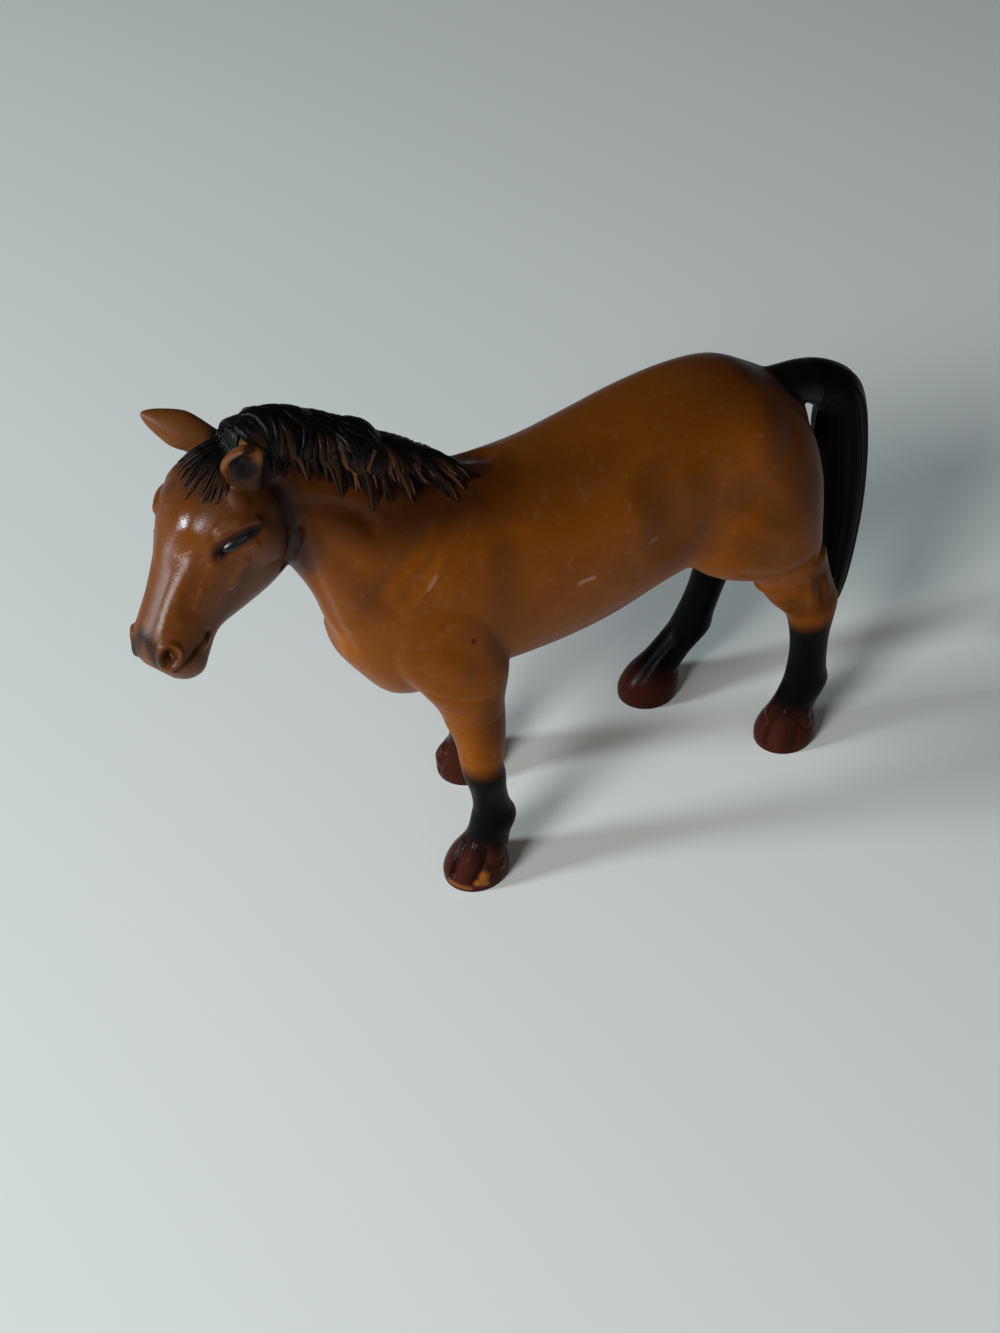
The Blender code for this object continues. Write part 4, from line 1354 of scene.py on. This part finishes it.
SHADE_STROKES = strokes(1.0, (
    # Painted shade under the overhanging mane, in the throat's crease and behind the jaw
    (9.0, 0.82, Mirror.BODY, (290, 486), (318, 500), (345, 512), (380, 518), (425, 512), (475, 498)),
    (8.5, 0.90, Mirror.BODY, (276, 480), (292, 502), (300, 525), (296, 548)),
    (5.0, 0.35, Mirror.BODY, (330, 545), (350, 580), (372, 610)),
    # Painted shade in the elbow's groove and the flank's hollow, darker patches on the thigh and the
    # buttock, and painted shadow round the dock
    (6.5, 0.34, Mirror.BODY, (508, 550), (512, 590), (508, 630)),
    (8.5, 0.46, Mirror.BODY, (658, 470), (670, 494), (681, 522), (684, 546)),
    (6.0, 0.26, Mirror.BODY, (744, 494), (762, 501), (783, 507)),
    (5.0, 0.26, Mirror.BODY, (768, 519), (790, 526), (808, 530)),
    (5.0, 0.22, Mirror.BODY, (748, 547), (770, 553)),
    (11.0, 0.62, Mirror.BODY, (776, 405), (798, 440), (812, 490)),
    (8.0, 0.75, Mirror.BODY, (745, 372), (770, 380), (790, 400)),
    # Hock, forearm, and painted shade in the pit of the knee
    (4.4, 0.62, Mirror.BODY, (819, 576), (826, 590), (826, 604)),
    (3.2, 0.45, Mirror.BODY, (790, 604), (798, 614)),
    (4.0, 0.42, Mirror.BODY, (491, 712), (497, 740)),
))
HEAD_SHADE_STROKES = strokes(1.0, (
    # Painted shade around the forelock, behind the ear and the jaw, in the eye's socket, on the cheek,
    # in the mouth's line and in the nostril
    (5.5, 0.85, Mirror.HEAD, (235, 440), (205, 455), (190, 480)),
    (4.5, 0.60, Mirror.HEAD, (212, 470), (214, 500)),
    (3.4, 0.75, Mirror.HEAD, (262, 488), (268, 508), (262, 522)),
    (2.0, 1.0, Mirror.HEAD, (218, 556), (224, 548), (240, 539), (259, 527)),
    (3.6, 0.85, Mirror.HEAD, (283, 505), (290, 525), (286, 548)),
    (2.6, 0.40, Mirror.HEAD, (250, 570), (238, 592), (226, 612)),
    (0.8, 0.85, Mirror.HEAD, (173.6, 671.5), (192, 656), (208, 633)),
    (1.7, 0.8, Mirror.HEAD, (168.5, 658.1)),
    (2.2, 0.45, Mirror.HEAD, (180, 665), (196, 650)),
))
HEAD_BLACK_AND_SHADE_STROKES = strokes(1.0, (
    (2.2, 0.85, Mirror.HEAD, (144, 640), (148, 652), (154, 664)),
    (1.1, 0.9, Mirror.HEAD, (222, 552), (230, 545.5), (242, 538), (258, 529)),
    (3.4, 1.0, Mirror.NONE, (250, 425), (232, 428), (214, 437)),
    # Black laid as painted shade in the crease behind the jaw
    (4.2, 0.62, Mirror.NONE, (262, 470), (272, 482), (281, 500), (286, 520)),
))
RIM_STROKES = strokes(1.0, (
    (2.2, 1.0, Mirror.NONE, (227, 452), (234, 446), (246, 444), (258, 449), (264, 458)),
))
WORN_STROKES = strokes(1.0, (
    # Patches on the near forehoof
    (1.4, 0.85, Mirror.NONE, (485, 877), (484, 881)),
    (0.9, 0.8, Mirror.NONE, (477, 884), (487, 884)),
    (0.8, 0.6, Mirror.NONE, (450, 881), (458, 886), (470, 889)),
))
SCUFF_STROKES = strokes(1.0, (
    (0.50, 0.65, Mirror.NONE, (580, 584), (587, 580.5), (594.5, 578)),
    (0.45, 0.40, Mirror.NONE, (650, 542.5), (657, 539)),
    (0.30, 0.22, Mirror.NONE, (174, 556), (183, 554.5), (191, 552)),
    (0.55, 0.35, Mirror.NONE, (429, 590), (437, 577)),
))
GLOSS_STROKES = strokes(1.0, (
    (5.4, 1.0, Mirror.NONE, (184, 516), (186, 528)),
    (1.9, 0.8, Mirror.NONE, (183, 556), (177, 575), (168, 600), (160, 628)),
    (4.0, 0.6, Mirror.HEAD, (168, 658)),
))
SPECK_STROKES = strokes(1.0, (
    (0.75, 0.9, Mirror.NONE, (474, 641.5)),
    (0.6, 0.4, Mirror.NONE, (443, 627)),
))
HOOF_GROOVE_SHADE_AND_BAND_STROKES = strokes(1.0, (
    # Painted shade in the grooves of the near hooves, and dark bands at their coronets
    (1.1, 0.75, Mirror.NONE, (465, 842), (458, 856), (452, 874)),
    (1.0, 0.70, Mirror.NONE, (486, 850), (482, 864), (475, 879)),
    (0.8, 0.40, Mirror.NONE, (486, 866), (496, 868), (503, 866)),
    (1.0, 0.50, Mirror.NONE, (776, 714), (769, 728), (765, 742)),
    (1.0, 0.45, Mirror.NONE, (800, 716), (797, 730), (793, 744)),
))


def distance_to(places: np.ndarray, line: list, radius: float) -> np.ndarray:
    """Gives each place's distance to a line, up to a radius."""
    best = np.full(len(places), radius)
    tree = KDTree(len(line))
    for i, point in enumerate(line):
        tree.insert(point, i)
    tree.balance()
    points = np.array([tuple(point) for point in line])
    near = np.flatnonzero(((places > points.min(0) - radius)
                           & (places < points.max(0) + radius)).all(1))
    for i in near:
        best[i] = min(radius, tree.find(places[i])[2])
    return best


@dataclass(frozen=True)
class Spray:
    """How far and how strongly the coat's paint layers reach, as bands from full to none."""

    crest_steps: int = 12
    crest_reach: float = 22 * MM
    crest_band: tuple = (6 * MM, 17 * MM)
    crest_share: float = 0.70
    mane_edges: tuple = (3.6 * MM, 8.0 * MM)
    mane_narrowing: tuple = (2.4 * MM, 4.0 * MM)
    mane_end: tuple = (-0.029, -0.022)
    withers: tuple = (-0.030, -0.018)
    dock_start: float = 0.0415
    dock_reach: float = 9 * MM
    dock_band: tuple = (4 * MM, 8 * MM)
    dock_share: float = 0.9
    dock_edges: tuple = (4.4 * MM, 5.6 * MM)
    top_facing: tuple = (0.10, 1.0)
    top_heights: tuple = (0.050, 0.080)
    top_places: tuple = (-0.035, 0.000)
    top_share: float = 0.55
    ear_reach: float = 8 * MM
    ear_band: tuple = (2.9 * MM, 4.4 * MM)
    # The ears' hollows get black and shade, partly dark paint and partly painted shade of the recess;
    # their roots get painted shade
    hollow_facing: tuple = (0.45, 0.85)
    hollow_band: tuple = (1.9 * MM, 2.7 * MM)
    hollow_share: float = 0.80
    base_reach: float = 7 * MM
    base_band: tuple = (2.2 * MM, 6.0 * MM)
    base_share: float = 0.8
    ear_kept_share: float = 0.25
    # An even painted shade over each ear, stronger on the far ear where the pane lamp falls
    near_ear_painted_shade: float = 0.25
    far_ear_painted_shade: float = 0.72
    far_rim_share: float = 0.25
    legs_middle: float = 0.006
    fore_stocking: float = 0.0252
    hind_stocking: float = 0.0276
    fade: float = 0.0052
    off_hind_fade: float = 0.012
    hoof_band: tuple = (0.0050, 0.0112)
    off_hoof_drop: float = 0.0024
    gloss_band: tuple = (0.0085, 0.0120)

    def back_layers(self, skin: Skin, head: Head, tail: Tail) -> tuple:
        """Gives the shade and the black of the back, the mane's root and the dock."""
        x, _, z = skin.places.T
        rows = smooth_rows([row for row in head.neck.shares if row[0] >= 0], self.crest_steps)
        crest = [head.neck.crest(row[0], row[1], row[5]) for row in rows]
        mane = distance_to(skin.places, crest, self.crest_reach)
        line = [one.middle for one in tail.slices() if one.middle.x > self.dock_start]
        dock = distance_to(skin.places, line, self.dock_reach)
        top = ramp(skin.soften(skin.normals[:, 2]), *self.top_facing) * ramp(z, *self.top_heights)
        shade = self.top_share * top * ramp(x, *self.top_places)
        # Painted shade under the mane's locks along the crest
        shade = np.maximum(shade, self.crest_share * (1 - ramp(mane, *self.crest_band)))
        # Painted shadow round the root of the tail
        shade = np.maximum(shade, self.dock_share * (1 - ramp(dock, *self.dock_band)))
        withers = ramp(x, *self.withers)
        black = 1 - ramp(mane, *(edge - less * withers for edge, less
                                 in zip(self.mane_edges, self.mane_narrowing)))
        black = black * (1 - ramp(x, *self.mane_end))
        return shade, np.maximum(black, 1 - ramp(dock, *self.dock_edges))

    def paint_ears(self, skin: Skin, head: Head, shade: np.ndarray, black: np.ndarray,
                   worn: np.ndarray) -> tuple:
        """Gives shade, black and worn with the ears cleared, their hollows and roots darkened with black
        and painted shade, their rims painted, and each ear given an even painted shade.
        """
        for side in Side:
            near = side is Side.LEFT
            reach = distance_to(skin.places, head.ear_line(side), self.ear_reach)
            bare = ramp(reach, *self.ear_band)
            facing = skin.normals @ np.array(head.frame().to_3x3() @ head.ear_opening(side))
            # Black and painted shade in the ear's hollow
            hollow = ramp(facing, *self.hollow_facing) * (1 - ramp(reach, *self.hollow_band))
            black = np.maximum(black * bare, self.hollow_share * hollow)
            # Painted shade at the ear's root
            root = distance_to(skin.places, [head.frame() @ head.ear_root(side)], self.base_reach)
            base = self.base_share * (1 - ramp(root, *self.base_band))
            kept = self.ear_kept_share + (1 - self.ear_kept_share) * bare
            shade = np.maximum(shade * kept, np.maximum(hollow, base))
            # An even painted shade over each ear, the far one darker
            plain = self.near_ear_painted_shade if near else self.far_ear_painted_shade
            shade = np.maximum(shade, plain * (1 - bare))
            rim = skin.paint(RIM_STROKES) if near else self.far_rim_share
            worn = np.maximum(worn, rim * (1 - bare))
        return shade, black, worn

    def leg_layers(self, skin: Skin) -> tuple:
        """Gives the black of the stockings and the red of the hooves."""
        x, y, z = skin.places.T
        hind = x > self.legs_middle
        off_hind = (y > 0) & hind
        stocking = np.where(hind, self.hind_stocking, self.fore_stocking)
        fade = np.where(off_hind, self.off_hind_fade, self.fade)
        low, high = (edge - self.off_hoof_drop * off_hind for edge in self.hoof_band)
        # The hooves' red is left off the grooves and coronet bands so the black beneath shows; in the
        # grooves it is painted shade
        hoof = (1 - ramp(z, low, high)) * (1 - skin.paint(HOOF_GROOVE_SHADE_AND_BAND_STROKES))
        return 1 - ramp(z, stocking, stocking + fade), hoof

    def paint(self, skin: Skin, head: Head, tail: Tail) -> None:
        """Sprays every paint layer on a whole skin."""
        shade, black = self.back_layers(skin, head, tail)
        shade = np.maximum(shade, skin.paint(SHADE_STROKES + HEAD_SHADE_STROKES))
        black = np.maximum(black, skin.paint(HEAD_BLACK_AND_SHADE_STROKES + SPECK_STROKES))
        worn = skin.paint(WORN_STROKES)
        shade, black, worn = self.paint_ears(skin, head, shade, black, worn)
        stocking, hoof = self.leg_layers(skin)
        gloss = np.maximum(skin.paint(GLOSS_STROKES), 1 - ramp(skin.places[:, 2], *self.gloss_band))
        layers = {"shade": np.clip(shade, 0, 1), "black": np.maximum(black, stocking),
                  "hoof": hoof, "worn": worn, "scuff": skin.paint(SCUFF_STROKES), "gloss": gloss}
        for name, values in layers.items():
            set_layer(skin.thing, name, values)


@dataclass(frozen=True)
class Glow:
    """A round soft light that faces the horse."""

    name: str
    place: tuple
    size: float
    power: float
    tint: tuple

    def make(self) -> None:
        """Hangs the light."""
        data = bpy.data.lights.new(self.name, "AREA")
        data.shape = "DISK"
        data.size = self.size
        data.energy = self.power
        data.color = self.tint
        light = bpy.data.objects.new(self.name, data)
        light.location = self.place
        light.rotation_euler = Vector(self.place).to_track_quat("Z", "Y").to_euler()
        bpy.context.collection.objects.link(light)


ROOM_COLOUR = (0.86, 0.93, 1.0, 1)
ROOM_STRENGTH = 0.055
GLOWS = (
    Glow("window", (-0.80, -0.34, 0.64), 0.36, 7.2, (0.93, 0.97, 1.0)),
    Glow("pane", (-0.92, 0.26, 0.44), 0.20, 7.0, (0.78, 0.89, 1.0)),
    Glow("lamp", (0.00, -0.80, 0.55), 0.50, 0.35, (1.0, 0.98, 0.95)),
)


def light_studio() -> None:
    """Lights the stage softly, with a window to the front left."""
    world = bpy.data.worlds.new("room")
    world.use_nodes = True
    background = world.node_tree.nodes["Background"]
    background.inputs["Color"].default_value = ROOM_COLOUR
    background.inputs["Strength"].default_value = ROOM_STRENGTH
    bpy.context.scene.world = world
    for glow in GLOWS:
        glow.make()


def make_floor() -> None:
    """Lays the table under the horse."""
    bm = bmesh.new()
    bmesh.ops.create_grid(bm, x_segments=1, y_segments=1, size=5.0)
    floor = new_object("table_top", bm)
    floor.data.materials.append(FloorFinish().make())


class Horse:
    """The whole dressed figure."""

    VOXEL = 0.45 * MM
    LEG_VOXEL = 0.32 * MM
    HEAD_VOXEL = 0.25 * MM
    MELT_AREA = 1.2e-6
    RELAX_ROUNDS = 240
    PEG_RISE = 0.0050
    UP = 2
    PRESS_BAND = 8.0 * MM
    PRESS_MARGIN = 0.02 * MM

    def __init__(self) -> None:
        """Finds the horse's forms and its place in the frame."""
        self.trunk = Trunk()
        self.neck = Neck(self.trunk)
        self.head = Head(self.neck)
        self.tail = Tail(self.trunk)
        self.limbs = make_limbs(self.trunk)
        self.view = PhotoView()
        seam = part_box("tail")[0].x + self.tail.peg_length
        self.shift = Vector((seam - self.tail.seam(), 0, 0))
        self.seams = Seams(self.neck, self.tail.seam(),
                           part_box("foreleg_left")[1].z - self.PEG_RISE,
                           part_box("hind_leg_left")[1].z - self.PEG_RISE)
        self.coat = CoatFinish().make("coat_paint")
        self.head_coat = CoatFinish(base=(0.100, 0.026, 0.0020, 1),
                                    light=(0.162, 0.045, 0.0044, 1), specular=0.20,
                                    roughness=0.40, gloss_roughness=0.17).make("head_paint")
        self.leg_coat = CoatFinish(specular=0.035, gloss_roughness=0.22).make("leg_paint")
        self.hair_coat = CoatFinish(worn=(0.20, 0.074, 0.026, 1), specular=0.10,
                                    gloss_roughness=0.34).make("hair_paint")
        self.tail_coat = CoatFinish(specular=0.025).make("tail_paint")
        self.pieces = []
        LOG.info("shift %.5f", self.shift.x)

    def hold_in_box(self) -> None:
        """Presses the outermost reaches of the pieces into the solids' box."""
        low, high = (np.array(corner) for corner in CAD_BOX)
        places = []
        for piece in self.pieces:
            spots = np.empty(len(piece.data.vertices) * 3)
            piece.data.vertices.foreach_get("co", spots)
            places.append(spots.reshape(-1, 3))
        reach_low = np.min([spots.min(0) for spots in places], axis=0)
        reach_high = np.max([spots.max(0) for spots in places], axis=0)
        for spots in places:
            for axis in range(3):
                column = spots[:, axis]
                edge = high[axis] - self.PRESS_BAND
                scale = (self.PRESS_BAND - self.PRESS_MARGIN) / max(reach_high[axis] - edge,
                                                                    self.PRESS_BAND)
                beyond = column > edge
                column[beyond] = edge + (column[beyond] - edge) * scale
                edge = low[axis] + self.PRESS_BAND
                # The soles stay on the ground
                if axis != self.UP:
                    scale = (self.PRESS_BAND - self.PRESS_MARGIN) / max(edge - reach_low[axis],
                                                                        self.PRESS_BAND)
                    beyond = column < edge
                    column[beyond] = edge + (column[beyond] - edge) * scale
        for piece, spots in zip(self.pieces, places):
            piece.data.vertices.foreach_set("co", spots.ravel())
            piece.data.update()

    def melt(self, name: str, forms: list, voxel: float) -> Skin:
        """Melts forms into a skin and readies it for carving."""
        rounds = round(self.MELT_AREA / voxel ** 2)
        thing = fuse(name, forms, voxel, rounds)
        return Skin(thing, self.view, self.head.frame())

    def body_forms(self) -> list:
        """Builds the forms that the body's skin is melted from."""
        forms = [self.trunk.form(), self.neck.form(), self.neck.ridge(), self.head.skull(),
                 self.tail.form()]
        for limb in self.limbs:
            forms += limb.forms()
        return forms

    def finish(self, thing: bpy.types.Object, node: str,
               paint: bpy.types.Material = None) -> bpy.types.Object:
        """Moves a piece to its place in the frame, paints it and lets it stand for its node."""
        thing.data.transform(Matrix.Translation(self.shift))
        thing.data.materials.append(paint or self.coat)
        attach(thing, ROOT)
        if node:
            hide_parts(node)
        self.pieces.append(thing)
        graph = bpy.context.evaluated_depsgraph_get()
        corners = [Vector(corner) / MM for corner in thing.evaluated_get(graph).bound_box]
        LOG.info("%s: %d faces, %s to %s mm", thing.name, len(thing.data.polygons),
                 [round(value, 2) for value in corners[0]], [round(value, 2) for value in corners[6]])
        return thing

    def build_body(self) -> None:
        """Builds the body's skin."""
        skin = self.melt("skin", self.body_forms(), self.VOXEL)
        skin.carve(HEAD_STROKES + BODY_STROKES + LEG_STROKES)
        skin.relax(RELAX_STROKES, self.RELAX_ROUNDS)
        Spray().paint(skin, self.head, self.tail)
        body = part_skin(skin.thing, "body_skin", self.seams.body_planes(), self.seams.in_body)
        self.finish(body, "body")
        self.finish(Mane(skin, self.neck).build(), "", self.hair_coat)
        self.finish(Forelock(skin, 5).build(), "", self.hair_coat)
        bpy.data.objects.remove(skin.thing, do_unlink=True)

    def build_head(self) -> None:
        """Builds the head with its ears."""
        forms = [self.neck.form(), self.neck.ridge(), self.head.skull(),
                 self.head.ear(Side.LEFT), self.head.ear(Side.RIGHT)]
        skin = self.melt("skull_skin", forms, self.HEAD_VOXEL)
        skin.carve(HEAD_STROKES)
        Spray().paint(skin, self.head, self.tail)
        head = part_skin(skin.thing, "head_skin", self.seams.head_planes(), self.seams.in_head)
        self.finish(head, "head", self.head_coat)
        self.finish(Eyes().build(skin), "", EyeFinish().make())
        bpy.data.objects.remove(skin.thing, do_unlink=True)

    def build_legs(self) -> None:
        """Builds the four legs."""
        forms = [self.trunk.form()]
        for limb in self.limbs:
            forms += limb.forms()
        skin = self.melt("legs_skin", forms, self.LEG_VOXEL)
        skin.carve(BODY_STROKES + LEG_STROKES)
        Spray().paint(skin, self.head, self.tail)
        ground = [(Vector((0, 0, 0)), Vector((0, 0, 1)))]
        for limb in self.limbs:
            fore = limb.name.startswith("fore")
            leg = part_skin(skin.thing, limb.name + "_skin",
                            self.seams.leg_planes(fore) + ground,
                            lambda point, fore=fore, limb=limb: point.z > 0
                            and self.seams.in_leg(point, fore, limb.side))
            self.finish(leg, limb.name, self.leg_coat)
        bpy.data.objects.remove(skin.thing, do_unlink=True)

    def build_tail(self) -> None:
        """Builds the tail."""
        rough = self.tail.combed()
        for key in ("shade", "hoof", "worn", "gloss"):
            set_layer(rough, key, np.zeros(len(rough.data.vertices)))
        set_layer(rough, "black", np.ones(len(rough.data.vertices)))
        place = Vector((self.tail.seam(), 0, 0))
        tail = part_skin(rough, "tail_skin", [(place, Vector((1, 0, 0)))],
                         lambda point: point.x > place.x)
        self.finish(tail, "tail", self.tail_coat)
        bpy.data.objects.remove(rough, do_unlink=True)


def main() -> None:
    """Builds the horse and its stage."""
    logging.basicConfig(level=logging.INFO, format="%(name)s %(message)s")
    horse = Horse()
    horse.build_body()
    horse.build_head()
    horse.build_legs()
    horse.build_tail()
    horse.hold_in_box()
    make_floor()
    light_studio()
    horse.view.make_camera(horse.shift)
    bpy.context.scene.view_settings.view_transform = "Standard"


if __name__ == "__main__":
    main()
